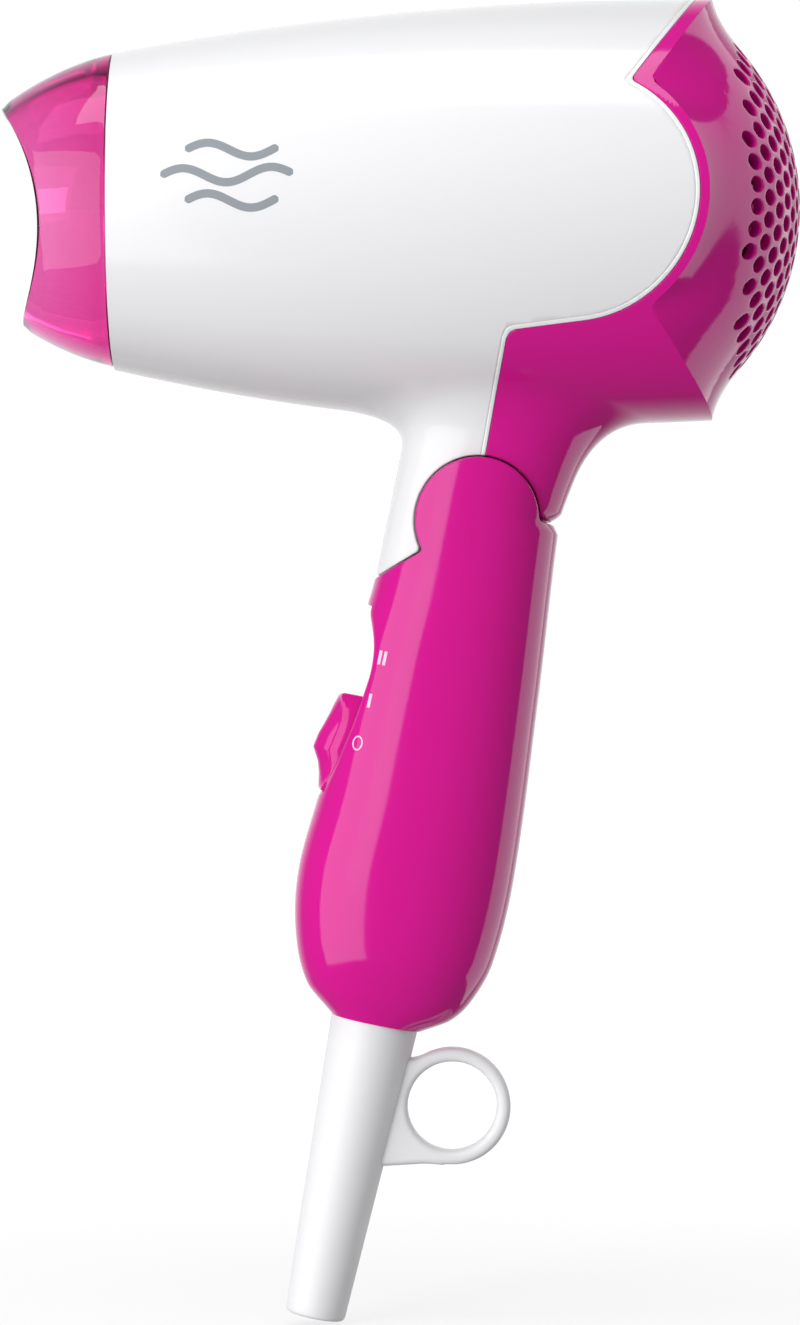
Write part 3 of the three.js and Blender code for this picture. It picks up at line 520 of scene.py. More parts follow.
TONGUE = {"x": -18.2, "radius": 25.9, "lip": 2.0}  # round end of the white shell, seen from the side
SECTION = 2.3  # exponent of the grip's and neck's rounded-square sections
NECK_TOP = 12.0  # height up the grip at which the neck begins to swell into the barrel
FOOT = {"x": -3.5, "long": 32.5, "wide": 24.5}  # oval where the neck's fillet meets the barrel
DOME_BULGE = 18.4  # how far the dome stands back from the tail's corner
DOME_EDGE = 33.0  # the dome is round up to here and flares out beyond
PLATE_EDGE = 37.6  # the holed plate ends here and the plain flare goes on
ABOUT = 2 * np.pi

# The nozzle: gap to the barrel, reach of its lip, taper and curl of its outside, slope and dish of its
# mouth, length of its spigot, and how far the spigot's and mouth's walls go in
NOZZLE = {
    "gap": 0.3,
    "reach": 14.4,
    "taper": 0.219,
    "curl": 0.0109,
    "slope": 0.137,
    "dish": 0.0128,
    "spigot": 4.6,
    "spigot_wall": 1.6,
    "wall": 2.4,
}


def barrel_radius(x, size):
    """Radius of the barrel: full at the tail, less by the square of the way to the mouth."""
    full = size["tail_x"] + 5
    share = np.maximum(0, (x - full) / (size["mouth_x"] - full))
    return size["tail_radius"] - (size["tail_radius"] - size["mouth_radius"]) * share**2


def barrel_point(x, turn, size):
    """A point of the barrel's skin: turn is the angle from straight down. The underside hangs lower
    by half a sine wave along the barrel."""
    r = barrel_radius(x, size)
    tail = size["tail_x"]
    sag = 1.9 * np.maximum(0, np.sin(np.pi * (x - tail) / (size["mouth_x"] + 12 - tail)))
    drop = np.where(np.cos(turn) > 0, sag, 0)
    return stack(x, r * np.sin(turn), AXIS_HEIGHT - (r + drop) * np.cos(turn))


def flare_start(height, size):
    """Where the barrel ends: a straight crease that leans forward, bent round the white tongue."""
    rise = np.abs(height)
    line = size["tail_x"] + 0.72 * (size["tail_radius"] - rise)
    reach = TONGUE["radius"] + TONGUE["lip"]
    arc = TONGUE["x"] - np.sqrt(np.maximum(reach**2 - rise**2, 0))
    return -smooth_max(-line, -arc, 3)


def tail_curve(turn, size):
    """The flare's profile at each angle, from the dome's edge to the crease: a cubic whose end
    directions are the dome's slope and 1.85 times the chord's angle less 42 degrees."""
    crease_x = flare_start(-size["tail_radius"] * np.cos(turn), size)
    crease_r = barrel_radius(crease_x, size)
    depth = np.sqrt(size["dome_radius"] ** 2 - DOME_EDGE**2)
    start = stack(DOME_EDGE, dome_centre(size) - depth + 0 * turn)
    end = stack(crease_r, crease_x)
    chord = end - start
    span = np.linalg.norm(chord, axis=-1)[..., None]
    gamma = np.arctan2(chord[..., 1], chord[..., 0])
    beta = 1.85 * gamma - np.radians(42)
    leave = unit(np.array([depth, DOME_EDGE])) * span
    arrive = stack(np.cos(beta), np.sin(beta)) * span

    def at(t):
        t = np.asarray(t)[..., None]
        return (
            start * (1 + 2 * t) * (1 - t) ** 2
            + end * (3 - 2 * t) * t**2
            + leave * t * (1 - t) ** 2
            - arrive * t**2 * (1 - t)
        )

    return at


def share_at(curve, radius):
    """How far along the flare's profile it reaches a radius, found by halving."""
    low, high = np.zeros_like(radius), np.ones_like(radius)
    for _ in range(30):
        t = (low + high) / 2
        short = curve(t)[..., 0] < radius
        low, high = np.where(short, t, low), np.where(short, high, t)
    return low


def dome_centre(size):
    """How far along the barrel's axis the inlet dome's centre is."""
    return size["tail_x"] - DOME_BULGE + size["dome_radius"]


def round_tail(radius, turn, size):
    """A point of the tail's skin: on the sphere inside the dome's edge, and on the flare outside it."""
    dome = dome_centre(size) - np.sqrt(np.maximum(size["dome_radius"] ** 2 - radius**2, 1))
    curve = tail_curve(turn, size)
    x = np.where(radius < DOME_EDGE, dome, curve(share_at(curve, radius))[..., 1])
    return stack(x, radius * np.sin(turn), AXIS_HEIGHT - radius * np.cos(turn))


# The neck's outline, as distances up the grip and out from its axis
NECK_FRONT, NECK_BACK, GROOVE_TOP = 18.4, -16.9, 2.95
neck_half = through((-24, 11.6), (4, 13.4), (14, 15), (34, 15))
neck_lean = through((-24, 0), (2, 0), (22, -3), (34, -3))


def section_ring(front, back, half, turn):
    """A rounded-square ring: front and back reach from the middle of an even oval, so that a
    chamfer can take the back in without moving the sides."""
    c, s = np.cos(turn), np.sin(turn)
    middle = (front + back) / 2
    reach = np.where(c > 0, front - middle, middle - back)
    return middle + reach * power(c, 2 / SECTION), half * power(s, 2 / SECTION)


def neck_ring(up, turn):
    """A ring of the neck, with the chamfer of the groove at its back."""
    back = NECK_BACK + neck_lean(up)
    x, y = section_ring(NECK_FRONT, back, neck_half(up), turn)
    chamfer = np.clip((4.7 - up) / 1.75, 0, 1) * 1.7
    x = x + chamfer * np.clip(-np.cos(turn), 0, 1)
    return from_grip(stack(x, y, up + 0 * x))


def barrel_skin(size):
    """Neck, fillet and barrel as one grid. Its columns run up the neck, over a quadratic curve that
    leaves the neck's wall and lands along the barrel, and out to the mouth, the top seam or just
    past the tail's crease; its rows are rings round the neck."""
    around = np.linspace(-np.pi, np.pi, 141)
    back = size["tail_x"] - 1
    seam = np.linspace(size["mouth_x"], back, 67)[1:-1]
    edge_x = np.concatenate([np.full(141, size["mouth_x"]), seam, np.full(141, back), seam[::-1]])
    edge_turn = np.concatenate([around, np.full(65, np.pi), around[::-1], np.full(65, -np.pi)])
    ring = np.arctan2(edge_turn * 40 / FOOT["wide"], (edge_x - FOOT["x"]) / FOOT["long"])
    foot_x = FOOT["x"] + FOOT["long"] * np.cos(ring)
    foot_turn = np.arcsin(FOOT["wide"] * np.sin(ring) / barrel_radius(foot_x, size))

    ups = np.linspace(-24.5, NECK_TOP, 38)[:, None]
    neck = neck_ring(ups, ring[None])
    wall = unit(neck[-1] - neck[-2])
    foot = barrel_point(foot_x, foot_turn, size)
    step = 1e-3
    lie = [
        barrel_point(foot_x + step, foot_turn, size) - foot,
        barrel_point(foot_x, foot_turn + step, size) - foot,
    ]
    out = unit(np.cross(*lie))
    rise = ((foot - neck[-1]) * out).sum(-1) / (wall * out).sum(-1)
    turning = neck[-1] + wall * rise[:, None]
    t = np.linspace(0, 1, 14)[1:-1, None, None]
    fillet = neck[-1] * (1 - t) ** 2 + turning * 2 * t * (1 - t) + foot * t**2
    t = np.linspace(0, 1, 52)[:, None]
    body = barrel_point(foot_x + (edge_x - foot_x) * t, foot_turn + (edge_turn - foot_turn) * t, size)
    skin = weld(sheet(np.concatenate([neck, fillet, body]), wrap=True))
    return face_out(skin, np.array([0, 0, AXIS_HEIGHT]))


def white_level(points):
    """Distance inside the white shell's outline, seen from the side: everything ahead of a round
    tongue, of a sloping line above it and of the seam down the neck."""
    x, z = points[:, 0], points[:, 2]
    height = z - AXIS_HEIGHT
    ahead, fall = x - TONGUE["x"], math.atan(0.12)
    disc = TONGUE["radius"] - np.hypot(ahead, height)
    under = TONGUE["radius"] + ahead * math.sin(fall) + height * math.cos(fall)
    along = ahead * math.cos(fall) - height * math.sin(fall)
    slope = math.atan(0.743)
    above = (x + 32.5) * math.cos(slope) + (height - 25.6) * math.sin(slope)
    above = np.minimum(above, height)
    across, up = in_grip(points)
    seam = across - 0.7 - 0.03 * up
    level = smooth_max(np.where(along > 0, under, disc), above, 1.4)
    return smooth_max(level, seam, 2.0)


def handle_level(points):
    """Distance inside the handle's outline at the hinge, seen from the side: a disc about the hinge
    joined to everything below a sloping line in front and a level line behind."""
    across, up = in_grip(points)
    lean = math.radians(40.5)
    front = -(across * math.sin(lean) + up * math.cos(lean))
    back = 2.47 - up
    return smooth_max(13 - np.hypot(across, up), np.minimum(front, back), 1.0)


def neck_level(points):
    """Distance inside what the neck keeps: all that is clear of the handle, and of its toe's sweep."""
    across, up = in_grip(points)
    reach = np.maximum(23.6 - np.hypot(across, up), up)
    return np.minimum(-handle_level(points) - 0.3, reach)


def knuckle(from_turn, to_turn):
    """A sector of the drum between the handle's ears: a ring of four corners carried round an arc."""
    turn = np.radians(np.linspace(from_turn, to_turn, 40))[:, None]
    radius = np.array([12.6, 12.6, 6.0, 6.0])
    side = np.array([-9.0, 9.0, 9.0, -9.0])
    rings = stack(radius * np.cos(turn), side + 0 * turn, radius * np.sin(turn))
    return face_out(swept(from_grip(rings)), np.array([0.0, 0, 0]))


def shell_skin(size):
    """The barrel's skin, cut off at the tail's crease and clear of the handle."""
    skin = with_normals(barrel_skin(size))
    skin = trim(skin, lambda p: p[:, 0] - flare_start(p[:, 2] - AXIS_HEIGHT, size))
    return trim(skin, neck_level, 0.35)


def inlet_plate(size):
    """The holed part of the tail: honeycomb cells, each a ring from its round hole out to its six
    sides, bent to the tail's shape, with the holes' rims eased. The turned grid has its holes in
    upright columns."""
    pitch, radius = size["hole_pitch"], size["hole_radius"]
    reach = int(size["hole_field"] / pitch * 1.3) + 2
    column, row = np.meshgrid(np.arange(-reach, reach + 1), np.arange(-reach, reach + 1))
    y = (column * pitch * math.cos(math.pi / 6)).ravel()
    z = (row * pitch + np.where(column % 2, 0, pitch / 2)).ravel()
    away = np.hypot(y, z)
    near = away < PLATE_EDGE + pitch
    y, z, open_hole = y[near], z[near], away[near] <= size["hole_field"]
    turn = np.arange(24) * ABOUT / 24
    side = pitch / 2 / np.cos((turn % (math.pi / 3)) - math.pi / 6)
    share = np.array([0, 0.16, 0.45, 1.0])
    rings = radius + (side[None] - radius) * share[:, None]
    cells = stack(
        y[:, None, None] + rings * np.cos(turn),
        z[:, None, None] + rings * np.sin(turn),
        np.broadcast_to(share[:, None], rings.shape) + 0 * y[:, None, None],
    )
    sides, count = len(turn), len(turn) * len(share)
    cell_faces = sheet(cells[0], wrap=True)[1]
    faces = (cell_faces[None] + count * np.arange(len(y))[:, None, None]).reshape(-1, 3)
    flat = cells.reshape(-1, 3)
    plain = np.nonzero(~open_hole)[0]
    middles = stack(y[plain], z[plain], 1.0 + 0 * y[plain])
    rim = count * plain[:, None] + np.arange(sides)
    centre = np.broadcast_to(len(flat) + np.arange(len(plain))[:, None], rim.shape)
    fan = np.stack([centre, rim, np.roll(rim, -1, 1)], -1)
    flat[rim.ravel(), 2] = 1
    flat[(rim + sides).ravel(), 2] = 1
    flat = np.concatenate([flat, middles])
    faces = np.concatenate([faces, fan.reshape(-1, 3)])
    points, faces = trim((flat, faces), lambda p: PLATE_EDGE - np.hypot(p[:, 0], p[:, 1]))
    ease = np.where(points[:, 2] < 0.1, 0.32, np.where(points[:, 2] < 0.3, 0.07, 0))
    away = np.hypot(points[:, 0], points[:, 1])
    placed = round_tail(away, np.arctan2(points[:, 0], -points[:, 1]), size)
    placed[:, 0] += ease
    return weld((placed, faces))


def tail_skin(size, crease):
    """The tail: the holed plate, a strip that joins it to the flare, and the flare out to the
    crease's own points, whose small offsets fade in by the square of the way."""
    plate = inlet_plate(size)
    turn = np.arctan2(crease[:, 1], AXIS_HEIGHT - crease[:, 2])
    crease, turn = crease[np.argsort(turn)], np.sort(turn)
    curve = tail_curve(turn, size)
    begin = share_at(curve, PLATE_EDGE + 0.5 + 0 * turn)
    rows = np.linspace(0, 1, 16)[:, None]
    profile = curve(begin + (1 - begin) * rows)
    radius, x = profile[..., 0], profile[..., 1]
    flare = stack(x, radius * np.sin(turn), AXIS_HEIGHT - radius * np.cos(turn))
    flare = flare + (crease - flare[-1]) * rows[..., None] ** 2
    rim = open_ring(plate, lambda p: np.hypot(p[:, 1], p[:, 2] - AXIS_HEIGHT) > PLATE_EDGE - 0.05)
    strip = zipped(flare[0], rim, lambda p: np.arctan2(p[:, 1], AXIS_HEIGHT - p[:, 2]))
    ahead = np.array([30.0, 0, AXIS_HEIGHT])
    return [face_out(part, ahead) for part in (plate, strip, sheet(flare, wrap=True))]


def tail_inward(skin, size):
    """Which way the tail's wall grows: towards the dome's centre under the plate, so that the holes
    run straight through, and against the skin's normal beyond it."""
    points = skin[0][:, :3]
    centre = np.array([dome_centre(size), 0, AXIS_HEIGHT])
    away = np.hypot(points[:, 1], points[:, 2] - AXIS_HEIGHT)
    behind = points[:, 0] < size["tail_x"] + 5.4
    share = np.where(behind, np.clip((away - PLATE_EDGE) / 1.5, 0, 1), 1)[:, None]
    return unit((centre - points) * (1 - share) / size["dome_radius"] - normals_of(skin) * share)


class DRYER_OT_front_shell(bpy.types.Operator):
    """Builds the white front shell: the barrel's forward part with its tongue, and half the neck"""

    bl_idname = "dryer.front_shell"
    bl_label = "Front shell"

    def execute(self, context):
        size = sizes()
        skin = trim(shell_skin(size), white_level, 0.16)
        skin = engrave(skin, white_level, 0.85, 0.4, 0.12)
        shell = together(thicken(skin, size["wall"]), knuckle(-84, 84))
        build("Front_shell", shell, "barrel", white_abs(), ["front_shell"])
        return {"FINISHED"}


class DRYER_OT_rear_shell(bpy.types.Operator):
    """Builds the magenta tail shell: the flare, the holed inlet dome and half the neck"""

    bl_idname = "dryer.rear_shell"
    bl_label = "Tail shell"

    def execute(self, context):
        size = sizes()
        skin = shell_skin(size)
        past = lambda p: p[:, 0] - flare_start(p[:, 2] - AXIS_HEIGHT, size)
        crease = open_ring(skin, lambda p: (np.abs(past(p)) < 0.02) & (p[:, 0] < 0))
        skin = trim(skin, lambda points: -white_level(points) - 0.12, 0.12)
        skin = join(skin, *[with_normals(part) for part in tail_skin(size, crease)])
        shell = together(bridged(skin, skin[0][:, :3] + tail_inward(skin, size) * 2.0), knuckle(96, 264))
        build("Tail_shell", shell, "barrel", magenta_abs(), ["rear_shell"], sharp=24)
        return {"FINISHED"}


class DRYER_OT_nozzle(bpy.types.Operator):
    """Builds the clear tinted nozzle: a ring profile turned about the axis, whose lip runs out by a
    parabola of its height, so that the mouth is a saddle"""

    bl_idname = "dryer.nozzle"
    bl_label = "Nozzle"

    def execute(self, context):
        size = sizes()
        turn = np.linspace(0, ABOUT, 240, endpoint=False)
        start = size["mouth_x"] + NOZZLE["gap"]
        seat = size["mouth_radius"] - 0.2
        outer = lambda x: seat - NOZZLE["taper"] * (x - start) - NOZZLE["curl"] * (x - start) ** 2
        lip = np.full_like(turn, start + NOZZLE["reach"])
        for _ in range(12):
            z = outer(lip) * np.sin(turn)
            lip = start + NOZZLE["reach"] + NOZZLE["slope"] * z + NOZZLE["dish"] * z * z
        bore = size["mouth_radius"] - size["wall"] - NOZZLE["gap"]
        deep, thick = start - NOZZLE["spigot"], NOZZLE["spigot_wall"]
        rim = lip - 2.1
        share = np.linspace(0, 1, 12)[1:, None]
        wall = start + 0.5 + (rim - start - 0.5) * share
        back = share[::-1]
        inside = start + 1 + (lip - 0.9 - start - 1) * back
        taper = np.clip(back * 1.15, 0, 1)
        inner = outer(inside) - NOZZLE["wall"] * taper - (seat - bore + thick) * (1 - taper)
        flat = 0 * turn
        profile = [
            (flat + deep, flat + bore - 0.2),
            (flat + deep + 0.2, flat + bore),
            (flat + start, flat + bore),
            (flat + start, flat + seat - 0.35),
            (flat + start + 0.1, flat + seat - 0.1),
            (flat + start + 0.4, outer(flat + start + 0.4)),
            *zip(wall, outer(wall)),
            (rim + 0.5, outer(rim + 0.5) - 0.04),
            (lip - 0.35, outer(lip) - 0.2),
            (lip - 0.05, outer(lip) - 0.45),
            (lip - 0.02, outer(lip) - 0.8),
            (lip - 0.35, outer(lip) - 1.7),
            *zip(inside, inner),
            (flat + deep + 0.2, flat + bore - thick),
            (flat + deep, flat + bore - thick + 0.2),
        ]
        x = np.array([px for px, _ in profile])
        r = np.array([pr for _, pr in profile])
        rings = stack(x, r * np.cos(turn), AXIS_HEIGHT + r * np.sin(turn))
        rings = np.concatenate([rings, rings[:1]])
        skin = weld(sheet(rings, wrap=True))
        build("Nozzle", solid_out(skin), "nozzle", clear_tinted(), ["nozzle"], sharp=40)
        return {"FINISHED"}


# ---- The grip's shape ------------------------------------------------------------------------
# Depth is measured down the grip from the hinge.

HOOD, SLOT_END, SLOT_FLOOR = 21.7, 61.7, 14.2
grip_bow = through(
    *((-15, 17.8), (16, 18.5), (30, 19.7), (48, 20.5), (61.7, 21.0)),
    *((78, 22.1), (90.5, 20.4), (101.4, 15.8), (107, 9.2)),
)
thumb_dip = through(
    (20.7, 22.4), (21.7, 19.4), (28, 16.3), (34, 15.4), (40, 15.9), (48, 17.1), (61.7, 20.8), (66, 25)
)
grip_back = through(
    *((-15, -16.9), (0, -17.4), (34, -20.2), (72, -22.7)),
    *((90, -21.9), (98.5, -19.2), (103.5, -15.7), (107, -10.1)),
)
grip_side = through((-15, 16.4), (0, 16.4), (34, 17.2), (75, 18.2), (92, 17.1), (101, 13.5), (107, 9.6))
SCREWS = ((-13.5, 30), (-14.5, 72), (12, 79))


def grip_skin(size):
    """The grip's skin: rounded-square rings whose front, back and sides follow smooth curves down
    the grip, cut back in front by the dip for the thumb, and chamfered at its upper back."""
    end = np.linspace(94, size["grip_length"], 24)[1:]
    depth = np.concatenate([np.linspace(-14.5, 94, 126), end])[:, None]
    turn = np.linspace(0, ABOUT, 216, endpoint=False)[None]
    x, y = section_ring(grip_bow(depth), grip_back(depth), grip_side(depth), turn)
    x = -smooth_max(-x, -thumb_dip(depth), 1.0)
    chamfer = np.clip((-0.7 - depth) / 1.8, 0, 1) * 1.2
    x = x + chamfer * np.clip(-np.cos(turn), 0, 1)
    skin = sheet(from_grip(stack(x, y, -depth + 0 * x)), wrap=True)
    return face_out(skin, from_grip(np.array([0.0, 0, -50])))


def grip_side_at(depth, across):
    """How far out to the side the grip's skin is."""
    front, back = grip_bow(depth), grip_back(depth)
    share = np.clip(np.abs((across - (front + back) / 2) / ((front - back) / 2)), 0, 1)
    return grip_side(depth) * (1 - share**SECTION) ** (1 / SECTION)


def grip_front_at(depth, side):
    """How far forward the grip's skin is."""
    front, back = grip_bow(depth), grip_back(depth)
    share = np.clip(np.abs(side / grip_side(depth)), 0, 1)
    x = (front + back) / 2 + (front - back) / 2 * (1 - share**SECTION) ** (1 / SECTION)
    return np.minimum(x, thumb_dip(depth))


def slot_level(points, size):
    """Distance outside the switch slot in the grip's front, seen from the front."""
    across, up = in_grip(points)
    depth = -up
    middle, half = (HOOD + SLOT_END) / 2, (SLOT_END - HOOD) / 2
    beside = np.abs(points[:, 1]) - size["channel_half"]
    beyond = np.abs(depth - middle) - half
    return np.where(across > 0, np.maximum(beside, beyond), 9)


def screw_level(points):
    """Distance outside the screw holes in the grip's right side."""
    across, up = in_grip(points)
    nearest = np.min([np.hypot(across - x, up + depth) for x, depth in SCREWS], axis=0) - 2.95
    return np.where(points[:, 1] < 0, nearest, 9)


def slot_tray(size, side):
    """One half of the slot's lining: its wall hangs from just under the grip's skin to the floor
    round a half outline, and the floor closes it to the middle. The wall grows away from the slot."""
    half = size["channel_half"]
    along = np.concatenate([np.full(5, HOOD), np.linspace(HOOD, SLOT_END, 32)[1:-1], np.full(5, SLOT_END)])
    out = np.concatenate([np.linspace(0.1, half, 5), np.full(30, half), np.linspace(half, 0.1, 5)])
    grown = 1.3
    far_along = along - grown * (along <= HOOD) + grown * (along >= SLOT_END)
    far_out = np.where((along > HOOD) & (along < SLOT_END) | (out >= half), half + grown, out)
    rim = np.minimum(grip_front_at(along, out), grip_front_at(far_along, far_out)) - 0.3
    section = [
        (rim, out, along),
        (rim, far_out, far_along),
        (SLOT_FLOOR - grown + 0 * rim, far_out, far_along),
        (SLOT_FLOOR - grown + 0 * rim, 0 * out + 0.1, along),
        (SLOT_FLOOR + 0 * rim, 0 * out + 0.1, along),
        (SLOT_FLOOR + 0 * rim, out, along),
        (rim, out, along),
    ]
    rows = np.stack([from_grip(stack(x, y * side, -depth)) for x, y, depth in section])
    return solid_out(weld(sheet(rows)))


def screw_boss(across, depth):
    """The hollow post a screw stands in: a square section carried round a circle."""
    turn = np.linspace(0, ABOUT, 40, endpoint=False)
    start = -grip_side_at(np.array(float(depth)), np.array(float(across))) + 1.2
    radius = np.array([2.95, 4.2, 4.2, 2.95, 2.95])[:, None]
    side = np.array([start, start, -9.5, -9.5, start])[:, None]
    rings = stack(across + radius * np.cos(turn), side + 0 * turn, -depth + radius * np.sin(turn))
    skin = weld(sheet(from_grip(rings), wrap=True))
    return solid_out(skin)


class DRYER_OT_grip(bpy.types.Operator):
    """Builds the two magenta halves of the grip with the switch slot and screw posts"""

    bl_idname = "dryer.grip"
    bl_label = "Grip halves"

    def execute(self, context):
        size = sizes()
        whole = with_normals(grip_skin(size))
        for side, name, node in ((1, "Grip_left", "handle_left"), (-1, "Grip_right", "handle_right")):
            skin = trim(whole, lambda p: side * p[:, 1] - 0.08, 0.1)
            skin = trim(skin, handle_level, 0.3)
            skin = trim(skin, lambda p: slot_level(p, size), 0.4)
            if side < 0:
                skin = trim(skin, screw_level, 0.3)
            near = np.clip(handle_level(skin[0][:, :3]) / 4, 0, 1)
            wall = 0.7 + (size["wall"] - 0.7) * near**2 * (3 - 2 * near)
            parts = [thicken(skin, wall), slot_tray(size, side)]
            if side < 0:
                parts += [screw_boss(x, depth) for x, depth in SCREWS]
            build(name, together(*parts), "handle", magenta_abs(), [node])
        return {"FINISHED"}


# The knob's front outline: how far down from its top, and how far forward of the hinge
KNOB_FRONT = (
    *((0, 15.0), (0, 17.5), (0.05, 19.9), (0.25, 20.7), (0.8, 21.1), (2.5, 21.6), (4.9, 22.2)),
    *((7.3, 22.95), (9.2, 23.6), (9.7, 23.72), (12.0, 24.15), (12.4, 24.15), (13.2, 23.7)),
    *((15.2, 22.6), (17.5, 21.9), (20.2, 21.5), (20.8, 21.1)),
)


class DRYER_OT_knob(bpy.types.Operator):
    """Builds the thumb slider, scooped across its front, with slanting cheeks"""

    bl_idname = "dryer.knob"
    bl_label = "Switch knob"

    def execute(self, context):
        size = sizes()
        top, end = 40.6, 61.7
        knots = np.array(
            [(top + down, reach) for down, reach in KNOB_FRONT]
            + [(end - 0.05, 20.4), (end, 18.5), (end, 15.0)]
        )
        run = np.concatenate([[0], np.cumsum(np.linalg.norm(np.diff(knots, axis=0), axis=1))])
        at = np.linspace(0, run[-1], 140)
        depth, reach = (np.interp(at, run, knots[:, i]) for i in (0, 1))
        middle = np.clip((depth - top) / (end - top), 0, 1)
        scoop = 3.4 * np.sin(np.pi * middle) ** 0.8 * np.clip((reach - 16) / 4, 0, 1)
        half = size["knob_half"]
        across = np.linspace(0, 1, 15)
        edge = 0.82 * half
        y = np.concatenate([across * edge, [edge + 0.25, edge + 0.6, half - 0.1, half, half]])
        fall = np.concatenate([across**2.2, [1.03, 1.15, 1.6, 2.0, 2.0]])
        rows = reach[:, None] - np.minimum(scoop[:, None] * fall, np.maximum(reach[:, None] - 15.2, 0))
        rows[:, -1] = 15.0
        rows[:, -2] = np.minimum(rows[:, -2], np.maximum(reach - 4.5, 15.0))
        half_skin = stack(rows, y, -depth[:, None])
        mirrored = half_skin[:, :0:-1] * np.array([1, -1, 1])
        grid = np.concatenate([mirrored, half_skin], 1)
        grid[..., 2] = grid[..., 2].clip(-end, -top)
        skin = weld(sheet(from_grip(grid)))
        skin = face_out(skin, from_grip(np.array([10.0, 0, -(top + end) / 2])))
        base = skin[0].copy()
        across_now, up_now = in_grip(base)
        base = base - (across_now - 14.6)[:, None] * ACROSS
        solid = weld(bridged(skin, base))
        post = np.array([[-1, -1], [1, -1], [1, 1], [-1, 1]])
        reach = np.array([9.4, 14.9])[:, None]
        rings = stack(reach, 1.3 * post[:, 0], -51.2 + 2.5 * post[:, 1])
        stem = solid_out(swept(from_grip(rings)))
        knob = together(solid, stem)
        build("Switch_knob", knob, "switch_slider", magenta_abs(), ["switch_knob"], 28)
        return {"FINISHED"}


# ---- Cord sleeve and loop --------------------------------------------------------------------

LOOP = {"x": -19.5, "depth": 121.0, "outer": 12.2, "eye": 9.35, "half": 3.2}


def loop_level(points):
    """Distance inside the hanging loop, seen from the side: a disc joined to a web that runs to the
    sleeve between two lines, less the eye."""
    across, up = in_grip(points)
    depth = -up
    away = np.hypot(across - LOOP["x"], depth - LOOP["depth"])
    disc = LOOP["outer"] - away
    low_a, low_b = np.array([-7.4, 136.3]), np.array([LOOP["x"] + 0.6, LOOP["depth"] + LOOP["outer"]])
    along = unit(low_b - low_a)
    low = (depth - low_a[1]) * along[0] - (across - low_a[0]) * along[1]
    high = depth - 112.9
    right = across - LOOP["x"]
    web = np.minimum(np.minimum(low, high), right)
    return np.minimum(smooth_max(disc, web, 1.6), away - LOOP["eye"])


class DRYER_OT_sleeve(bpy.types.Operator):
    """Builds the soft white cord sleeve and its hanging loop"""

    bl_idname = "dryer.sleeve"
    bl_label = "Cord sleeve"

    def execute(self, context):
        size = sizes()
        top, end = size["sleeve_top"], size["sleeve_end"]
        start = size["grip_length"] - 9
        tip = size["grip_length"] + 63
        bore = 3.6
        ease = np.radians(np.linspace(0, 90, 7))
        outline = np.concatenate(
            [
                stack(start, np.array([bore, 11.0])),
                stack(start + 2.4, np.array([11.0, top])),
                stack(size["grip_length"], np.array([top])),
                stack(
                    np.linspace(size["grip_length"] + 1, tip - 1.2, 40),
                    np.linspace(top, end + 0.05, 40),
                ),
                stack(tip - 1.0 + 1.0 * np.sin(ease), end - 1.0 + 1.0 * np.cos(ease)),
                stack(tip - 0.5 + 0.5 * np.cos(ease), bore + 0.5 - 0.5 * np.sin(ease)),
                stack(np.array([tip - 20, start]), np.array([bore, bore])),
            ]
        )
        turn = np.linspace(0, ABOUT, 96, endpoint=False)
        depth, radius = outline[:, :1], outline[:, 1:]
        cone = stack(radius * np.cos(turn), radius * np.sin(turn), -depth + 0 * turn)
        cone = solid_out(weld(sheet(from_grip(cone), wrap=True)))

        grid = np.meshgrid(np.linspace(-33, 0, 74), np.linspace(104, 140, 80))
        flat = from_grip(stack(grid[0], LOOP["half"], -grid[1]))
        plate = face_out(sheet(flat), np.array([0.0, -50, 0]))
        narrow = lambda p: np.minimum(loop_level(p), -2.2 - in_grip(p)[0])
        plate = trim(plate, narrow, 1.35)
        mirrored = plate[0] * np.array([1, -1, 1])
        ring = solid_out(bridged(plate, mirrored))
        sleeve = together(cone, ring)
        build("Cord_sleeve", sleeve, "handle", sleeve_pvc(), ["cord_sleeve"], 50)
        return {"FINISHED"}


# ---- Printed marks ---------------------------------------------------------------------------


LIFT, FILM = 0.03, 0.12  # how far the ink stands out, and how thick it is down into the plastic


def on_grip(across, depth):
    """A closed film on the grip's left side from a grid of places across and down the grip."""
    y = grip_side_at(depth, across)
    skin = face_out(sheet(from_grip(stack(across, y + LIFT, -depth))), np.array([0.0, -50, 0]))
    return thicken(skin, FILM)


def on_barrel(x, height, size):
    """A closed film on the barrel's left side from a grid of places along it and above its axis."""
    r = barrel_radius(x, size)
    y = np.sqrt(r**2 - height**2)
    skin = face_out(sheet(stack(x, y + LIFT, AXIS_HEIGHT + height)), np.array([0.0, -50, 0]))
    return thicken(skin, FILM)


def stroke(path, width):
    """A flat band of a width about a path of (u, v) points, as a grid with round ends."""
    along = unit(np.gradient(path, axis=0))
    normal = stack(-along[:, 1], along[:, 0])
    run = np.concatenate([[0], np.cumsum(np.linalg.norm(np.diff(path, axis=0), axis=1))])
    end = np.minimum(run, run[-1] - run)
    half = np.sqrt(np.clip(1 - (1 - np.clip(end / (width / 2), 0, 1)) ** 2, 0.0, 1)) * width / 2
    across = np.linspace(-1, 1, 5)
    grid = path[:, None] + normal[:, None] * (half[:, None] * across)[..., None]
    return grid[..., 0], grid[..., 1]


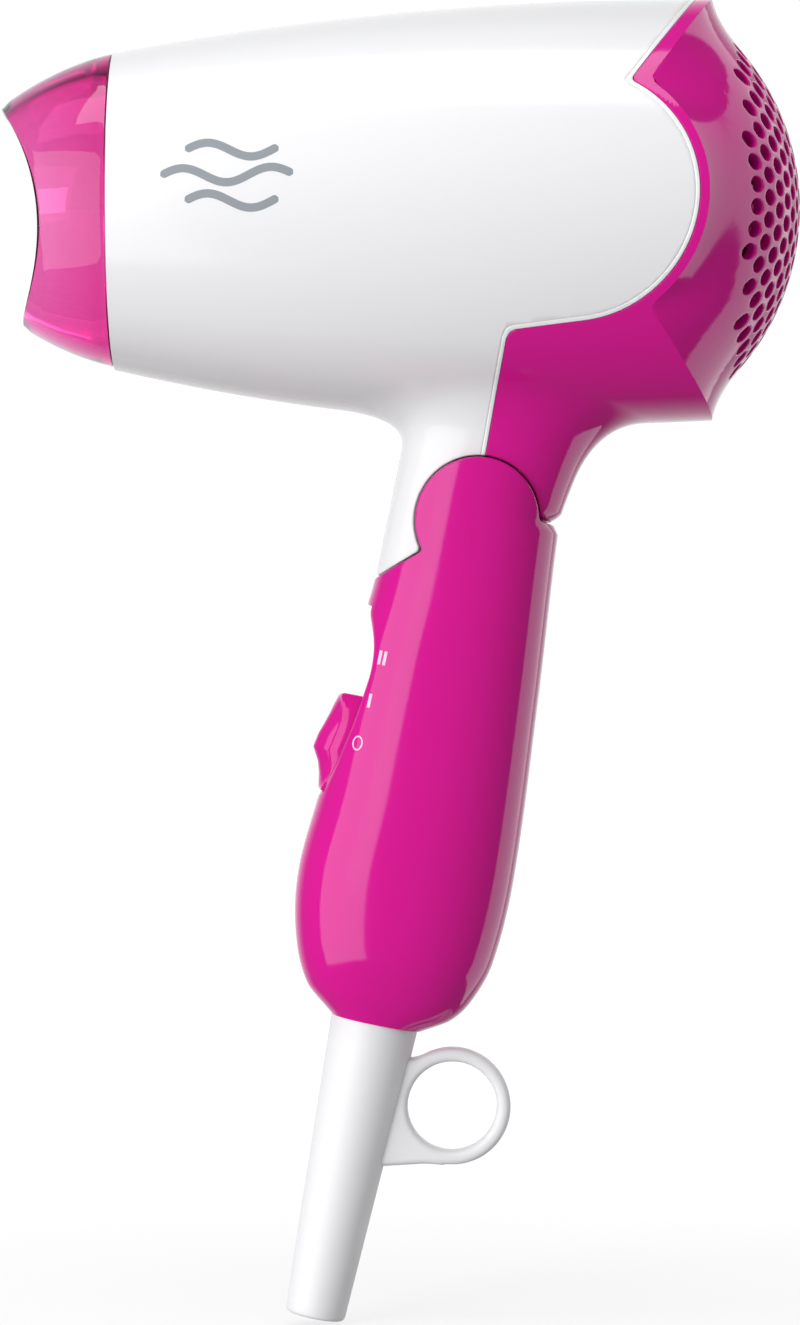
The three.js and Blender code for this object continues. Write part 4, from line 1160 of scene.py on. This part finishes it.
class DRYER_OT_marks(bpy.types.Operator):
    """Prints the off, low and high marks beside the switch, and an airflow sign on the barrel"""

    bl_idname = "dryer.marks"
    bl_label = "Printed marks"

    def execute(self, context):
        size = sizes()
        turn = np.linspace(0, ABOUT, 49)
        ring = np.array([0.82, 1.12])[:, None]
        films = [on_grip(15.1 + ring * np.cos(turn) * 0.95, 50.2 + (ring + 0.42) * np.sin(turn))]
        bars = ((14.4, 41.1), (14.1, 31.9), (13.05, 31.9))
        across, down = np.meshgrid(np.linspace(-0.3, 0.3, 4), np.linspace(-1.45, 1.45, 10))
        films += [on_grip(x + across, depth + down) for x, depth in bars]
        ink = printed("Pale ink, pad printed", colours()["marks"])
        build("Switch_marks", together(*films), "handle", ink)

        t = np.linspace(0, 1, 70)
        waves = []
        for row, reach in ((5.2, 19.0), (0.0, 27.0), (-5.2, 19.0)):
            x = 64.5 - 5 * (row != 0) - reach * t
            path = stack(x, 3.6 + row + 1.5 * np.sin(t * reach / 27 * 3 * np.pi))
            waves.append(on_barrel(*stroke(path, 1.7), size))
        grey = printed("Grey ink, pad printed", colours()["print"])
        build("Airflow_sign", together(*waves), "barrel", grey)
        return {"FINISHED"}


class DRYER_OT_inner_parts(bpy.types.Operator):
    """Gives the working parts inside the shells their finishes"""

    bl_idname = "dryer.inner_parts"
    bl_label = "Inner parts"

    def execute(self, context):
        slots = {entry["node"]: entry["material_slot"] for entry in frame["record"]["subparts"]}
        for node, thing in frame["nodes"].items():
            slot = slots.get(node)
            if thing.hide_render or slot not in INNER_FINISHES:
                continue
            name, code, rough, grain, relief, metal = INNER_FINISHES[slot]
            made = finish(name, linear(code), rough, grain, relief, 0.05, metal)
            thing.data.materials.clear()
            thing.data.materials.append(made)
        return {"FINISHED"}


# ---- Studio ----------------------------------------------------------------------------------


def lamp(name, place, aim, width, height, watts, glossy=True, diffuse=True):
    """A rectangular soft light at a place, turned to face a point. It may be kept out of
    reflections, or light reflections only."""
    light = bpy.data.lights.new(name, "AREA")
    light.shape = "RECTANGLE"
    light.size, light.size_y = width, height
    light.energy = watts
    thing = bpy.data.objects.new(name, light)
    thing.location = place
    thing.visible_glossy = glossy
    thing.visible_diffuse = diffuse
    thing.visible_camera = False
    thing.rotation_euler = (Vector(aim) - Vector(place)).to_track_quat("-Z", "Y").to_euler()
    bpy.context.scene.collection.objects.link(thing)
    return thing


def pale_room():
    """The room: white where the camera looks, even and dim where it lights matt surfaces, and in
    reflections bright only behind the dryer, so that edges pick up a pale line."""
    world = bpy.data.worlds.new("Studio_room")
    world.use_nodes = True
    tree = world.node_tree
    sky = tree.nodes["Background"]
    sky.inputs["Color"].default_value = (1, 1, 1, 1)
    place = add(tree, "ShaderNodeTexCoord").outputs["Generated"]
    parts = add(tree, "ShaderNodeSeparateXYZ", Vector=place)
    behind = ranged(tree, parts.outputs["Y"], (-0.95, -0.6), (1.0, 0.12))
    ray = add(tree, "ShaderNodeLightPath").outputs
    lit = add(tree, "ShaderNodeMix", {"data_type": "FLOAT"}, Factor=ray["Is Diffuse Ray"])
    tree.links.new(behind, lit.inputs[2])
    lit.inputs[3].default_value = 0.42
    seen = add(tree, "ShaderNodeMix", {"data_type": "FLOAT"}, Factor=ray["Is Camera Ray"])
    tree.links.new(lit.outputs[0], seen.inputs[2])
    seen.inputs[3].default_value = 1.02
    tree.links.new(seen.outputs[0], sky.inputs["Strength"])
    return world


class DRYER_OT_studio(bpy.types.Operator):
    """Sets a pale floor, soft lights and the camera"""

    bl_idname = "dryer.studio"
    bl_label = "Studio"

    def execute(self, context):
        scene = context.scene
        floor_z = CAD_BOX[0][2] - 0.0005
        mesh = bpy.data.meshes.new("Studio_floor")
        reach = 3.0
        corners = [(x * reach, y * reach, floor_z) for x, y in ((-1, -1), (1, -1), (1, 1), (-1, 1))]
        mesh.from_pydata(corners, [], [(0, 1, 2, 3)])
        mesh.materials.append(glowing_floor())
        floor = bpy.data.objects.new("Studio_floor", mesh)
        floor.visible_diffuse = floor.visible_glossy = False
        scene.collection.objects.link(floor)

        scene.world = pale_room()
        middle = (0, 0, 0.03)
        lamp("Top_light", (0.1, 0.2, 0.9), (0, 0, 0.1), 0.8, 0.5, 3.2)
        lamp("Key_light", (0.8, 1.1, 0.24), middle, 0.5, 0.5, 6.6, glossy=False)
        lamp("Back_light", (-0.5, -1.3, 0.5), middle, 0.6, 0.6, 8.0, glossy=False)
        lamp("Left_panel", (0.8, 0.62, 0.05), middle, 1.1, 1.5, 8.5)
        lamp("Right_strip", (-0.68, -0.32, 0.05), middle, 0.65, 1.4, 3.8, diffuse=False)

        camera = bpy.data.cameras.new("Camera")
        camera.lens = 122.3
        camera.sensor_width = 36
        thing = bpy.data.objects.new("Camera", camera)
        thing.location = (HINGE[0] + 16.0 * MM, 945 * MM, HINGE[2] - 29.5 * MM)
        thing.rotation_euler = (math.radians(90), 0, math.radians(180))
        scene.collection.objects.link(thing)
        scene.camera = thing
        scene.view_settings.view_transform = "Standard"
        return {"FINISHED"}


STEPS = (
    DRYER_OT_front_shell,
    DRYER_OT_rear_shell,
    DRYER_OT_nozzle,
    DRYER_OT_grip,
    DRYER_OT_knob,
    DRYER_OT_sleeve,
    DRYER_OT_marks,
    DRYER_OT_inner_parts,
    DRYER_OT_studio,
)


class DRYER_PT_build(bpy.types.Panel):
    """Lists the dryer's pieces and its sizes"""

    bl_idname = "DRYER_PT_build"
    bl_label = "Folding hair dryer"
    bl_space_type = "VIEW_3D"
    bl_region_type = "UI"
    bl_category = "Dryer"

    def draw(self, context):
        for step in STEPS:
            self.layout.operator(step.bl_idname)
        for group, keys in (
            (context.scene.dryer_sizes, DryerSizes.__annotations__),
            (context.scene.dryer_colours, DryerColours.__annotations__),
        ):
            for key in keys:
                self.layout.prop(group, key)


CLASSES = (DryerSizes, DryerColours, *STEPS, DRYER_PT_build)


def register():
    """Registers the classes and hangs the sizes and colours on the scene."""
    for kind in CLASSES:
        bpy.utils.register_class(kind)
    bpy.types.Scene.dryer_sizes = bpy.props.PointerProperty(type=DryerSizes)
    bpy.types.Scene.dryer_colours = bpy.props.PointerProperty(type=DryerColours)


def unregister():
    """Takes the classes away again."""
    del bpy.types.Scene.dryer_colours
    del bpy.types.Scene.dryer_sizes
    for kind in reversed(CLASSES):
        bpy.utils.unregister_class(kind)


def main():
    register()
    for step in STEPS:
        family, name = step.bl_idname.split(".")
        getattr(getattr(bpy.ops, family), name)()


if __name__ == "__main__":
    main()
